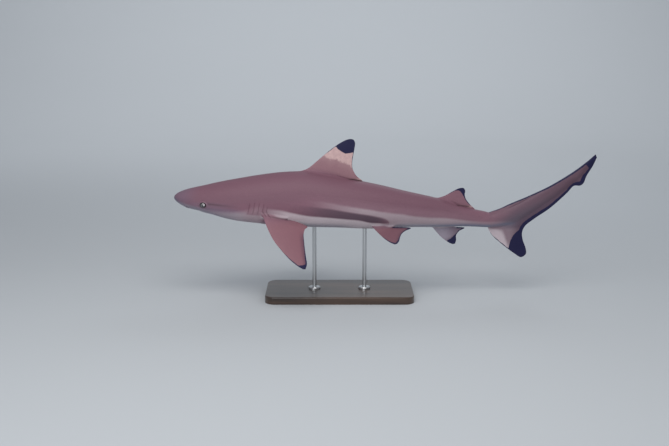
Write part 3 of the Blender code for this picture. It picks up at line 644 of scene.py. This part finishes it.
ANAL = Fin(
    [(59.3, -2.9), (60.4, -3.96), (61.4, -4.94), (62.9, -5.94), (63.8, -6.42), (64.5, -6.6)],
    [(63.8, -2.66), (66.8, -2.62), (65.6, -3.42), (65.0, -4.5), (65.1, -5.6), (64.95, -6.4)],
    0.60, 0.25, 1.0, 0.72, (0.8, 0.7), 56,
)
PECTORAL = Fin(
    [(20.7, 0.0), (21.9, 3.0), (23.6, 6.4), (25.5, 8.9), (27.7, 11.25), (29.5, 12.6), (30.6, 13.1)],
    [
        (25.8, 0.0), (26.5, -0.40), (27.5, -0.55), (29.2, -0.25), (30.8, 0.4), (30.3, 1.35), (30.1, 2.9),
        (30.3, 4.7), (30.6, 6.9), (31.0, 9.3), (31.35, 11.5), (31.15, 12.9),
    ],
    1.35, 0.62, 0.5, 1.35, (0.9, 0.9), 120,
)
PELVIC = Fin(
    [(45.6, 0.0), (46.7, 1.6), (48.35, 3.7), (49.55, 4.8), (50.5, 5.35)],
    [(50.0, 0.0), (54.2, 0.35), (52.9, 1.2), (52.1, 2.1), (51.7, 3.2), (51.5, 4.3), (51.05, 5.15)],
    0.60, 0.30, 1.1, 0.75, (0.7, 0.75), 60,
)
PECTORAL_ROOT = ((20.7, 5.0, -1.9), (25.8, 5.05, -2.6))  # at, out and up of its two ends
PELVIC_ROOT = ((46.0, 2.9, -3.2), (50.4, 2.4, -2.9))
PECTORAL_DROOP = {-1: math.radians(34.0), 1: math.radians(22.0)}  # the left fin is held lower
PELVIC_DROOP = math.radians(34.0)
PELVIC_ANGLE = math.radians(-54.5)  # where its root lies round the body
FILLET_ROWS = 12
FILLET_TOP = 0.035  # the share of the fin's height where the fillet has run out
FILLET_START, FILLET_END = 1.1, 0.9  # how strongly it holds to the body, and to the fin
ROOT_BOW = 0.42  # how far the first loops bow up over the middle of the root
# Half the thickness across a fin, by powers of the chord: round in front and thickest at 30 percent.
SECTION = ((0.5, 0.2969), (1, -0.1260), (2, -0.3516), (3, 0.2843), (4, -0.1015))
# The lower borders of the black tips and of the first dorsal's white band.
DORSAL_BLACK = [
    (35.5, 14.9), (35.9, 14.3), (36.3, 13.85), (36.9, 13.35), (37.6, 13.0), (38.2, 12.75), (39.4, 13.0),
    (40.5, 13.3),
]
DORSAL_BAND = [
    (33.0, 12.2), (34.2, 11.55), (34.9, 11.15), (35.6, 11.25), (36.3, 11.5), (37.0, 10.95), (38.0, 10.55),
    (39.0, 10.35), (40.0, 9.7), (41.0, 9.6),
]
SECOND_BLACK = [(63.6, 6.3), (63.9, 5.95), (64.5, 6.0), (65.0, 5.8), (65.4, 5.35), (65.8, 4.8), (66.2, 4.1)]
ANAL_BLACK = [(60.0, 7.0), (62.9, 6.0), (63.2, 5.65), (63.7, 5.4), (64.1, 4.95), (64.5, 4.5), (65.0, 4.0)]
PECTORAL_BLACK = [(26.0, 13.4), (29.0, 12.7), (30.4, 12.1), (31.5, 11.2)]
PECTORAL_BLACK_BELOW = [(26.0, 11.5), (29.0, 10.6), (31.5, 9.4)]


def upright(along, height, thick):
    return np.stack([along, thick, height], axis=-1)


def paired(root, droop, side):
    """Places a fin that leaves the body sideways and droops."""
    (front, front_out, front_up), (rear, rear_out, rear_up) = root

    def place(along, height, thick):
        run = (along - front) / (rear - front)
        base_out = front_out + (rear_out - front_out) * np.minimum(run, 1)
        base_up = front_up + (rear_up - front_up) * run
        across = base_out + height * math.cos(droop) + thick * math.sin(droop)
        lift = base_up - height * math.sin(droop) + thick * math.cos(droop)
        return np.stack([along, side * across, lift], axis=-1)

    return place


def fin_rows(fin, place, count, first_face, profile, sense):
    """Loops from the fillet's top to the fin's apex, and their places in the fin's own plane."""
    share = FILLET_TOP + (1 - FILLET_TOP) * np.linspace(0, 1, fin.rows) ** 1.1
    share = np.append(share, FILLET_TOP + 0.01)[:, None]  # one more, to find which way the first leaves
    turn = np.arange(count) / count
    chord = (1 + np.cos(2 * math.pi * turn)) / 2
    lead, trail = (through(run, share[:, 0])[:, None] for run in (fin.lead, fin.trail))
    plane = lead + chord[None, :, None] * (trail - lead)
    # Near the root the loops follow the body's own curve, and bow up over the middle of the root.
    (lead_at, lead_up), (trail_at, trail_up) = fin.lead[0], fin.trail[0]
    bow = 0 * chord
    if profile:
        bow = profile(lead_at + chord * (trail_at - lead_at)) - (lead_up + chord * (trail_up - lead_up))
    bow = bow + sense * ROOT_BOW * np.sin(math.pi * chord) ** 0.7
    plane[..., 1] += bow * (1 - share) ** 5
    section = 5 * sum(factor * chord**power for power, factor in SECTION)
    thick = fin.thickness / 2 * (0.16 + 0.84 * (1 - share) ** 1.3) * section
    blunt = np.clip(FIN_EDGE / np.linalg.norm(trail - lead, axis=-1), 0, 0.5)
    thick = np.maximum(thick, FIN_EDGE * np.sqrt(np.clip(chord / blunt, 0, 1)))
    thick = thick * np.sqrt(np.clip(1 - np.clip((chord - 1 + blunt) / blunt, 0, 1) ** 2, 0, 1))
    face = np.where(turn < 0.5, first_face, -first_face)
    loops = place(plane[..., 0], plane[..., 1], thick * face)
    leaving = loops[-1] - loops[0]
    leaving /= np.linalg.norm(leaving, axis=-1, keepdims=True)
    return loops[:-1], plane[:-1], leaving, face, chord, share[:-1]


FinPiece = namedtuple("FinPiece", "rim hole points plane marks")
fin_pieces = []


def grow_fin(fin, place, root_angle, first_face, paint, profile=None, sense=1):
    """Opens the body's grid round a fin's root and adds the fin's loops to the skin."""
    first = int(np.searchsorted(rings, fin.lead[0][0] - fin.margins[0]))
    last = int(np.searchsorted(rings, fin.trail[0][0] + fin.margins[1]))
    middle = (first + last) // 2
    centre = int(np.argmin(np.abs(np.angle(np.exp(1j * (angle[middle] - root_angle))))))
    beside = np.roll(grid[middle], -centre, axis=0)[:60]
    out_from_root = np.cumsum(np.linalg.norm(np.diff(beside, axis=0), axis=1))
    half_count = max(3, int(np.searchsorted(out_from_root, fin.spread)))
    low, high = centre - half_count, centre + half_count
    # The rim goes round from the middle of its rear side.
    across, run = list(range(low, high + 1)), list(range(first, last + 1))
    rim = [(last, c) for c in across[half_count:]] + [(r, high) for r in run[-2::-1]]
    rim += [(first, c) for c in across[-2::-1]] + [(r, low) for r in run[1:]]
    rim += [(last, c) for c in across[1:half_count]]
    rim_rows, rim_columns = np.array(rim).T
    count, rim = len(rim), (rim_rows, rim_columns % COLUMNS)
    rim_points, rim_normals = grid[rim], outward(grid)[rim]
    loops, plane, leaving, face, chord, share = fin_rows(fin, place, count, first_face, profile, sense)
    # The fillet starts along the body's surface and ends along the fin's.
    step = loops[0] - rim_points
    size = np.linalg.norm(step, axis=-1, keepdims=True)
    start = step - (step * rim_normals).sum(-1, keepdims=True) * rim_normals
    start = start / np.maximum(np.linalg.norm(start, axis=-1, keepdims=True), 1e-9) * size
    t = (np.arange(1, FILLET_ROWS) / FILLET_ROWS)[:, None, None]
    fillet = (1 + 2 * t) * (1 - t) ** 2 * rim_points + t * (1 - t) ** 2 * start * FILLET_START
    fillet = fillet + t * t * (3 - 2 * t) * loops[0] + t * t * (t - 1) * leaving * size * FILLET_END
    fillet_plane = plane[0] - (1 - t) * np.stack([0 * chord, sense * size[:, 0]], axis=-1)
    fillet_plane[..., 0] += (1 - t[..., 0]) * (rim_points[:, 0] - plane[0, :, 0])
    # Its markings, and up the fillet a blend from the body's. The white runs further into a fillet's rear.
    fields = {mark: np.zeros(plane.shape[:2]) for mark in marks}
    for mark in ("belly", "wedge", "stripe", "black", "band", "cream"):
        fields[mark] += OUTSIDE
    edges = [distance(plane, outline(run)) for run in (fin.lead, fin.trail)]
    painted = {"ray": 60 * chord, "fin": rise(share, 0.0, 0.3), "belly_soft": 0.5, "belly_depth": 1.0}
    painted.update(paint(*np.moveaxis(plane, -1, 0), face, chord, share, *edges))
    for mark, value in painted.items():
        fields[mark][:] = value
    blend = t[..., 0]
    sooner = blend ** (fin.root_white * (1 + 1.6 * rise(chord, 0.5, 0.9)))
    for mark, field in fields.items():
        part = sooner if mark in ("belly", "wedge", "stripe") else blend
        root = np.clip(marks[mark][rim], -2, 2) * (1 - part) + np.clip(field[:1], -2, 2) * part
        fields[mark] = np.concatenate([root, field])
    points = np.concatenate([fillet, loops])
    # Painted shade in the fold round the root, across the fillet.
    root_crease = fields["crease"][: len(blend)]
    root_fold_shade = fin.root_crease * (0.35 + 0.65 * rise(chord, 0.25, 0.6)) * hump(blend, 0.6, 0.14)
    root_crease[:] = np.maximum(root_crease, root_fold_shade)
    # On the dorsal fins, the painted shadow line under the free rear tip goes on over the fin.
    if sense > 0 and profile:
        fields["crease"] = np.maximum(fields["crease"], tip_shadow_lines(*np.moveaxis(points, -1, 0)))
    hole = (slice(first, last), np.arange(low, high) % COLUMNS)
    fin_pieces.append(FinPiece(rim, hole, points, np.concatenate([fillet_plane, plane]), fields))


def paint_first_dorsal(along, height, face, chord, share, from_lead, from_trail):
    """Black tip, ragged white band under it, a hair-fine dark edge and a cream free rear tip."""
    rear = line([(8.0, -0.3), (9.5, 0.06), (13.0, 0.14)], height) - from_trail
    return {
        "black": np.maximum.reduce([
            height - line(DORSAL_BLACK, along),
            line([(11.5, -0.1), (12.5, 0.06), (14.0, 0.12)], height) - from_lead,
            np.where(chord > 0.5, rear, OUTSIDE),
        ]),
        "band": height - line(DORSAL_BAND, along),
        "cream": 0.25 - np.hypot((along - 41.9) / 2.6, (height - 7.15) / 0.8),
    }


def paint_second_dorsal(along, height, face, chord, share, from_lead, from_trail):
    """Black over the apex and down the rear edge, and a cream free rear tip."""
    rear = line([(2.6, 0.10), (3.6, 0.18), (5.0, 0.32)], height) - from_trail
    return {
        "black": np.maximum.reduce([
            height - line(SECOND_BLACK, along),
            line([(4.8, 0.0), (6.0, 0.12)], height) - from_lead,
            np.where((chord > 0.5) & (height - back_line(along) > 0.75), rear, OUTSIDE),
        ]),
        "cream": 0.22 - np.hypot((along - 67.6) / 2.4, (height - 2.45) / 0.75),
        "fin": 0.25 * rise(share, 0.0, 0.3),
    }


def paint_anal(along, height, face, chord, share, from_lead, from_trail):
    """Pale, with a black tip and rear edge, and a blue-grey painted shade over it, as on the body's lower
    edge.
    """
    tip = -height - line(ANAL_BLACK, along)
    return {
        "black": np.maximum(tip, np.where((chord > 0.5) & (along > 64.8), 0.22 - from_trail, OUTSIDE)),
        "margin": np.maximum(0.9 * rise(tip, -1.1, 0.2), 0.5 * rise(along, 62.0, 65.0)),
        "belly": 1.3 - 0.35 * (along - 60.0) + 0.2 * (-height - 3.0),
        "belly_soft": 0.9,
        "belly_depth": 0.58,
        "underside": 0.50,
    }


def paint_pectoral(along, out, face, chord, share, from_lead, from_trail):
    """Ruddy brown above and white below, with a black tip, rear edge and outer front edge, and painted shade
    towards the root.
    """
    rear = line([(1.5, -0.3), (3.0, 0.08), (8.0, 0.18), (12.0, 0.4)], out) - from_trail
    return {
        "black": np.maximum.reduce([
            line([(7.0, -0.1), (10.5, 0.12), (13.0, 0.32)], out) - from_lead,
            np.where(chord > 0.5, rear, OUTSIDE),
            (out - line(PECTORAL_BLACK, along)) * 0.8,
            np.where(face < 0, out - line(PECTORAL_BLACK_BELOW, along), OUTSIDE),
        ]),
        "belly": np.where(face > 0, -1.0, 1.0 - 0.6 * rise(chord, 0.12, 0.0)),
        "ruddy": rise(share, 0.02, 0.25) * (0.55 + 0.35 * chord),
        "crease": 0.18 * rise(out, 1.6, 0.0),
        "margin": np.where(chord > 0.5, rise(from_trail, 1.3, 0.2), 0.0) * rise(out, 1.5, 5.0),
    }


def paint_pelvic(along, out, face, chord, share, from_lead, from_trail):
    """Ruddy brown above and white below, edged with black, a little darker all over and with painted shade
    towards the root.
    """
    lead = line([(2.0, -0.1), (4.0, 0.18), (5.2, 0.4)], out) - from_lead
    rear = line([(0.1, 0.35), (1.2, 0.16), (3.0, 0.16), (5.0, 0.4)], out) - from_trail
    rear_dark = np.where(chord > 0.4, rise(from_trail, 1.0, 0.2), 0.0)
    return {
        "black": np.maximum(lead, np.where(chord > 0.4, rear, OUTSIDE)),
        "belly": np.where(face > 0, -1.0, 1.0),
        "ruddy": 0.15 + 0.85 * rise(share + 0.1 * chord, 0.0, 0.35),
        "crease": 0.08 + 0.12 * rise(out, 1.4, 0.0),
        "margin": 0.5 * rear_dark + 0.5 * rise(share, 0.0, 0.35),
    }


def back_line(where):
    return girth(where)[0]


def belly_profile(where):
    return girth(where)[1]


grow_fin(FIRST_DORSAL, upright, math.pi / 2, -1, paint_first_dorsal, back_line)
grow_fin(SECOND_DORSAL, upright, math.pi / 2, -1, paint_second_dorsal, back_line)
grow_fin(ANAL, upright, -math.pi / 2, 1, paint_anal, belly_profile, sense=-1)
for side in (1, -1):
    pectoral_angle, pelvic_angle = (a if side > 0 else math.pi - a for a in (ROOT_ANGLE, PELVIC_ANGLE))
    pectoral_place = paired(PECTORAL_ROOT, PECTORAL_DROOP[side], side)
    grow_fin(PECTORAL, pectoral_place, pectoral_angle, side, paint_pectoral)
    grow_fin(PELVIC, paired(PELVIC_ROOT, PELVIC_DROOP, side), pelvic_angle, side, paint_pelvic)

# ---------------------------------------------------------------- the skin, as one mesh
# Body, caudal fin and the other fins are joined at shared points, so that the skin is one closed cast with
# no seam. Flat patches for the fins lie beside the body on its unwrap.

# Where the two faces of each fin lie on the unwrap, in the order of the fins: left, bottom, width and height.
PATCHES = (
    (0.010, 0.885, 0.150, 0.10), (0.345, 0.885, 0.100, 0.07), (0.565, 0.885, 0.090, 0.07),  # dorsals, anal
    (0.665, 0.700, 0.150, 0.17), (0.010, 0.510, 0.090, 0.07),  # right pectoral and pelvic
    (0.665, 0.510, 0.150, 0.17), (0.210, 0.510, 0.090, 0.07),  # left pectoral and pelvic
)
CAUDAL_PATCH = (0.010, 0.600, 0.300, 0.27)
PATCH_GAP = 0.01
BODY_HEIGHT, BODY_LENGTH = 0.48, 0.98  # of the body's own part of the unwrap
HEAD_END, HEAD_SHARE = 24, 0.36  # the head is drawn larger, and takes this share of that length
BACKWARD = [0, 3, 2, 1]  # the corners of a face, the other way round


def corners(values):
    """The four corners of every face between one row and the next, in rows that close on themselves."""
    after = np.roll(values, -1, 1)
    return np.stack([values[:-1], after[:-1], after[1:], values[1:]], axis=2)


def laid_flat(plane, patch):
    """A fin's points on its patch of the unwrap."""
    low, high = plane.min((0, 1)), plane.max((0, 1))
    return patch[:2] + (plane - low) / (high - low) * patch[2:]


index = np.arange(len(grid) * COLUMNS).reshape(-1, COLUMNS)
keep = np.ones((len(grid) - 1, COLUMNS), bool)
for piece in fin_pieces:
    keep[piece.hole] = False

# The body is unwrapped along its length and cut along the belly, and the caudal fin is laid flat, its right
# face beside its left.
row_u = PATCH_GAP + BODY_LENGTH * np.interp(rings, (0, HEAD_END, STALK), (0, HEAD_SHARE, 1))
row_u = np.append(row_u, np.full(CAUDAL_ROWS, row_u[-1]))
column_v = PATCH_GAP + BODY_HEIGHT * np.arange(COLUMNS + 1) / COLUMNS
unwrap = corners(np.stack(np.meshgrid(row_u, column_v, indexing="ij"), axis=-1))[:, :COLUMNS]
caudal_flat = laid_flat(grid[BODY_RINGS - 1 :][..., [0, 2]], CAUDAL_PATCH)
unwrap[BODY_RINGS - 1 :] = corners(caudal_flat)
unwrap[BODY_RINGS - 1 :, COLUMNS // 2 :, :, 0] += CAUDAL_PATCH[2] + PATCH_GAP

face_list, unwrap_list, open_loops = [corners(index)[keep]], [unwrap[keep]], []
start = index.size
for piece, patch in zip(fin_pieces, PATCHES):
    rows, count = piece.plane.shape[:2]
    piece_index = start + np.arange(rows * count).reshape(rows, count)
    start += rows * count
    faces = corners(np.concatenate([index[piece.rim][None], piece_index]))[..., BACKWARD]
    flat = laid_flat(np.concatenate([2 * piece.plane[:1] - piece.plane[1:2], piece.plane]), patch)
    fin_unwrap = corners(flat)[:, :, BACKWARD]
    fin_unwrap[:, count // 2 :, :, 0] += patch[2] + PATCH_GAP
    face_list.append(faces.reshape(-1, 4))
    unwrap_list.append(fin_unwrap.reshape(-1, 4, 2))
    open_loops.append((piece_index[-1], flat[-1], -1))
open_loops.append((index[-1], caudal_flat[-1], 1))

# The last loop of each fin is flattened, and faces run across it from one side to the other.
for loop, flat, order in open_loops:
    count, near = len(loop), np.arange(len(loop) // 2)
    pairs = np.stack([near, near + 1, count - near - 1, (count - near) % count], axis=-1)[:, ::order]
    face_list.append(loop[pairs])
    unwrap_list.append(flat[pairs])

# The snout's tip closes on one point.
tip_faces = np.stack([np.full(COLUMNS, start), np.roll(index[0], -1), index[0]], axis=-1)
tip_v = np.stack([(column_v[:-1] + column_v[1:]) / 2, column_v[1:], column_v[:-1]], axis=-1)
tip_unwrap = np.stack([np.broadcast_to((PATCH_GAP / 2, PATCH_GAP, PATCH_GAP), tip_v.shape), tip_v], axis=-1)

points = np.concatenate([part.reshape(-1, 3) for part in (grid, *(piece.points for piece in fin_pieces))])
skin_mesh = bpy.data.meshes.new("shark_skin")
all_faces = np.concatenate(face_list).tolist() + tip_faces.tolist()
skin_mesh.from_pydata(posed(np.append(points, [[0, 0, 0]], axis=0)), [], all_faces)
flat_uv = np.concatenate([part.reshape(-1, 2) for part in (*unwrap_list, tip_unwrap)])
skin_mesh.uv_layers.new(name="OFBake").data.foreach_set("uv", flat_uv.astype(np.float32).ravel())
for mark, field in marks.items():
    fields = (field, *(piece.marks[mark] for piece in fin_pieces), field[0].mean())
    layer = skin_mesh.attributes.new(mark, "FLOAT", "POINT")
    layer.data.foreach_set("value", np.concatenate([np.ravel(part) for part in fields]).astype(np.float32))
skin_mesh.validate()
skin_mesh.shade_smooth()
shark_skin = put("shark_skin", skin_mesh)

# ---------------------------------------------------------------- the skin's colour and surface
# Painted skin: mottled, dry-matt brown that reads as thousands of tiny scales, with soft borders to the
# white below and sharper, slightly ragged ones to the black.

BACK_BROWN = (0.232, 0.113, 0.150)
DEEP_BROWN = (0.160, 0.076, 0.104)
FIN_BROWN = (0.315, 0.172, 0.188)
RUDDY_BROWN = (0.222, 0.097, 0.120)
FLANK_PALE = (0.385, 0.295, 0.325)
BELLY_WHITE = (0.560, 0.470, 0.500)
# The blue-grey of painted shade along the lower edges.
UNDERSIDE_SHADE_BLUE = (0.130, 0.160, 0.240)
STRIPE_DARK = (0.085, 0.056, 0.078)
TAIL_BROWN = (0.155, 0.092, 0.120)
TAIL_GREY = (0.136, 0.110, 0.146)
BAND_WHITE = (0.595, 0.408, 0.395)
CREAM = (0.480, 0.315, 0.300)
MARGIN_DARK = (0.085, 0.042, 0.066)
TIP_BLACK = (0.011, 0.010, 0.048)
SNOUT_GREY = (0.160, 0.122, 0.172)
# Painted shade in folds, slits and hollows, and also the colour of the snout's pores.
CREASE_SHADE_AND_PORE_DARK = (0.045, 0.022, 0.026)
FLESH = (
    "head", "lower_jaw", "trunk", "tail", "caudal_upper_lobe", "caudal_lower_lobe", "first_dorsal_fin",
    "second_dorsal_fin", "anal_fin", "pectoral_fin_left", "pectoral_fin_right", "pelvic_fin_left",
    "pelvic_fin_right",
)

skin_material, skin_tree, skin_shader = new_material("shark_skin", 0.5)


def mark(name):
    return add(skin_tree, "Attribute", {}, "Fac", attribute_name=name)


def reckon(operation, *values):
    return add(skin_tree, "Math", dict(enumerate(values)), 0, operation=operation)


def times(first, *factors):
    for factor in factors:
        first = reckon("MULTIPLY", first, factor)
    return first


def remap(tree, value, low, high, to_low=0.0, to_high=1.0, **settings):
    """Stretches the range from low to high over another."""
    ranges = {"From Min": low, "From Max": high, "To Min": to_low, "To Max": to_high}
    return add(tree, "MapRange", {"Value": value, **ranges}, "Result", **settings)


def within(value, soft, uneven=None, amount=0.0):
    """1 inside a marking and 0 outside it, over a border of that softness, with a ragged edge."""
    if uneven is not None:
        value = reckon("ADD", value, reckon("MULTIPLY_ADD", uneven, amount, -amount / 2))
    low = times(soft, -1.0) if isinstance(soft, bpy.types.NodeSocket) else -soft
    return remap(skin_tree, value, low, soft, interpolation_type="SMOOTHSTEP")


where = add(skin_tree, "TexCoord", {}, "Object")
stretched = add(skin_tree, "Mapping", {"Vector": where, "Scale": (0.35, 1.0, 1.0)}, "Vector")
broad = noise(skin_tree, 7.0, 5.0, Roughness=0.6, Vector=stretched)
blotch = noise(skin_tree, 38.0, 4.0, Roughness=0.6, Vector=stretched)
fine = noise(skin_tree, 230.0, 3.0, Roughness=0.6, Vector=where)
ragged = noise(skin_tree, 95.0, 4.0, Roughness=0.65, Vector=where)
mottle = remap(skin_tree, reckon("ADD", times(broad, 0.6), times(blotch, 0.4)), 0.38, 0.62)
patchy = remap(skin_tree, ragged, 0.35, 0.6, 0.62, 0.95)
pore_cells = add(skin_tree, "TexVoronoi", {"Vector": where, "Scale": 170.0}, "Distance")
pore = remap(skin_tree, pore_cells, 0.13, 0.07)
wedge, wedge_depth, band = mark("wedge"), mark("wedge_depth"), mark("band")

# Coats of paint, one over another, and how strongly each covers.
COATS = (
    (BACK_BROWN, reckon("MULTIPLY_ADD", mottle, 0.6, 0.4)),
    # Darker along the back: countershading, deepened as painted shade.
    (DEEP_BROWN, mark("back")),
    (SNOUT_GREY, mark("snout")),
    (FIN_BROWN, times(mark("fin"), 0.65)),
    (RUDDY_BROWN, mark("ruddy")),
    (TAIL_BROWN, mark("tail")),
    (TAIL_GREY, times(mark("grey"), 0.8)),
    (FLANK_PALE, times(within(reckon("ADD", wedge, 1.3), 1.5), wedge_depth, 0.16)),  # a glow round the wedge
    (FLANK_PALE, times(within(wedge, 0.35, blotch, 0.3), wedge_depth)),
    (STRIPE_DARK, times(within(mark("stripe"), 0.25, blotch, 0.2), mark("stripe_depth"), 0.85)),
    (BELLY_WHITE, times(within(mark("belly"), mark("belly_soft"), blotch, 0.3), mark("belly_depth"))),
    # Painted shade along the lower edges, on the anal fin and in the tail's fold.
    (UNDERSIDE_SHADE_BLUE, times(mark("underside"), 0.9)),
    (MARGIN_DARK, times(mark("margin"), 0.6)),
    (BAND_WHITE, times(within(reckon("ADD", band, 0.9), 1.1), 0.16)),  # a halo round the band
    (BAND_WHITE, times(within(band, 0.30, ragged, 1.5), patchy)),
    (CREAM, times(within(mark("cream"), 0.25), 0.75)),
    (TIP_BLACK, within(mark("black"), 0.07, ragged, 0.35)),
    (CREASE_SHADE_AND_PORE_DARK, times(pore, mark("pores"), 0.5)),
    # Painted shade in the folds and slits.
    (CREASE_SHADE_AND_PORE_DARK, times(mark("crease"), 0.9)),
)
colour = DEEP_BROWN
for coat, strength in COATS:
    colour = over(skin_tree, colour, coat, strength)
speckle = remap(skin_tree, fine, 0, 1, 0.90, 1.10)
tinted = add(skin_tree, "VectorMath", {0: colour, "Scale": speckle}, "Vector", operation="SCALE")

# Bump: scales finer than a millimetre, a soft unevenness, and rays that fan out through the fins.
scales = add(skin_tree, "TexVoronoi", {"Vector": where, "Scale": 900.0}, "Distance")
rays = reckon("SINE", times(mark("ray"), 6.283))  # one at each whole number
ray_height = times(rays, mark("fin"), 0.10)
height = reckon("ADD", reckon("ADD", times(scales, 0.25), times(blotch, 0.5)), ray_height)
feed(skin_shader, {
    "Base Color": tinted,
    "Roughness": remap(skin_tree, blotch, 0, 1, 0.44, 0.60),
    "Specular IOR Level": 0.25,
    "Coat Weight": 0.03,
    "Coat Roughness": 0.35,
    "Normal": add(skin_tree, "Bump", {"Height": height, "Distance": 0.0006, "Strength": 0.5}, "Normal"),
})
skin_mesh.materials.append(skin_material)

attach(shark_skin, "root")
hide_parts(*FLESH)

# ---------------------------------------------------------------- the eyes
# Two balls of resin, painted, polished and set into the sockets from the front. Each has a dark iris with a
# silvery painted highlight behind the pupil, an upright slit of a pupil and a dark rim.

EYE_SEGMENTS, EYE_RINGS = 64, 48
IRIS_DARK, IRIS_PALE = (0.05, 0.047, 0.05), (0.15, 0.142, 0.145)
PAINTED_GLINT_PLACE, PAINTED_GLINT_SILVER = (0.30, 0.12, 0.0), (0.76, 0.70, 0.73)  # a painted highlight of silver behind the pupil
PUPIL_SHAPE = (5.6, 1.75, 1.0)  # how narrow and how short the slit is
PUPIL_BLACK, RIM_DARK = (0.004, 0.004, 0.005), (0.012, 0.010, 0.012)

eye_material, eye_tree, eye_shader = new_material("eye", 0.08)


def eye_vector(operation, out, *values):
    return add(eye_tree, "VectorMath", dict(enumerate(values)), out, operation=operation)


across, upward = (add(eye_tree, "Attribute", {}, "Fac", attribute_name=name) for name in ("gaze_x", "gaze_z"))
spot = add(eye_tree, "CombineXYZ", {"X": across, "Y": upward}, "Vector")
radius = eye_vector("LENGTH", "Value", spot)
pupil_radius = eye_vector("LENGTH", "Value", eye_vector("MULTIPLY", "Vector", spot, PUPIL_SHAPE))
off_painted_glint = eye_vector("DISTANCE", "Value", spot, PAINTED_GLINT_PLACE)
painted_glint = remap(eye_tree, off_painted_glint, 0.42, 0.12, interpolation_type="SMOOTHSTEP")
iris = over(eye_tree, IRIS_DARK, IRIS_PALE, noise(eye_tree, 9.0, 6.0, Vector=spot))
iris = over(eye_tree, iris, PAINTED_GLINT_SILVER, painted_glint)
iris = over(eye_tree, iris, RIM_DARK, remap(eye_tree, radius, 0.52, 0.68))
iris = over(eye_tree, iris, PUPIL_BLACK, remap(eye_tree, pupil_radius, 1.06, 0.92))
feed(eye_shader, {"Base Color": iris, "Coat Weight": 1.0, "Coat Roughness": 0.02})

latitudes = np.linspace(0, math.pi, EYE_RINGS + 1)[1:-1]
longitudes = np.arange(EYE_SEGMENTS) / EYE_SEGMENTS * 2 * math.pi
lat, lon = np.meshgrid(latitudes, longitudes, indexing="ij")
ball_index = np.arange(lat.size).reshape(lat.shape)
ball_faces = corners(ball_index).reshape(-1, 4).tolist()
for pole, row in ((lat.size, ball_index[0]), (lat.size + 1, ball_index[-1])):
    ball_faces += [(pole, int(a), int(b)) for a, b in zip(row, np.roll(row, -1))]

for word, facing in (("left", -1.0), ("right", 1.0)):
    low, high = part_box(f"eye_{word}")
    ball = np.stack([np.sin(lat) * np.cos(lon), facing * np.cos(lat), np.sin(lat) * np.sin(lon)], axis=-1)
    gaze = np.concatenate([ball.reshape(-1, 3), [[0, facing, 0], [0, -facing, 0]]])
    ball_mesh = bpy.data.meshes.new(f"eyeball_{word}")
    ball_mesh.from_pydata(gaze * np.array((high - low) / 2) + np.array((low + high) / 2), [], ball_faces)
    ball_mesh.validate()
    for name, column in (("gaze_x", 0), ("gaze_z", 2)):
        layer = ball_mesh.attributes.new(name, "FLOAT", "POINT")
        layer.data.foreach_set("value", gaze[:, column].astype(np.float32))
    ball_mesh.shade_smooth()
    ball_mesh.materials.append(eye_material)
    eyeball = put(f"eyeball_{word}", ball_mesh)
    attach(eyeball, "root")
    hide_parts(f"eye_{word}")

# ---------------------------------------------------------------- the stand
# A flat base of dark stained wood under a thin coat of lacquer, and two rods of brushed steel that rise from
# collars on it to the belly.

WOOD_DARK, WOOD_LIGHT = (0.34, (0.020, 0.012, 0.009, 1)), (0.68, (0.075, 0.043, 0.029, 1))
STEEL = (0.56, 0.57, 0.58, 1)


def lengthened(tree, scale):
    """Places on the object, drawn out so that a pattern there runs in long lines."""
    return add(tree, "Mapping", {"Vector": add(tree, "TexCoord", {}, "Object"), "Scale": scale}, "Vector")


def bumps(tree, height, depth, strength):
    return add(tree, "Bump", {"Height": height, "Distance": depth, "Strength": strength}, "Normal")


wood_material, wood_tree, wood_shader = new_material("dark_wood", 0.32)
grain = lengthened(wood_tree, (1.2, 16.0, 16.0))
streaks = noise(wood_tree, 2.2, 8.0, Vector=grain, Distortion=0.6)
wood_colour = add(wood_tree, "ValToRGB", {"Fac": streaks}, "Color")
for stop, (position, stain) in zip(wood_colour.node.color_ramp.elements, (WOOD_DARK, WOOD_LIGHT)):
    stop.position, stop.color = position, stain
feed(wood_shader, {
    "Base Color": wood_colour,
    "Normal": bumps(wood_tree, noise(wood_tree, 24.0, 4.0, Vector=grain), 0.0004, 0.4),
    "Coat Weight": 0.35,
    "Coat Roughness": 0.15,
})

steel_material, steel_tree, steel_shader = new_material("brushed_steel", 0.3, metallic=1.0)
brushing = noise(steel_tree, 40.0, 3.0, Vector=lengthened(steel_tree, (1.0, 1.0, 60.0)))
feed(steel_shader, {
    "Base Color": STEEL,
    "Roughness": remap(steel_tree, brushing, 0, 1, 0.24, 0.40),
    "Normal": bumps(steel_tree, brushing, 0.0001, 0.3),
})

for name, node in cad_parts.items():
    if name.startswith("stand_"):
        node.data.materials.clear()
        node.data.materials.append(wood_material if name == "stand_base" else steel_material)
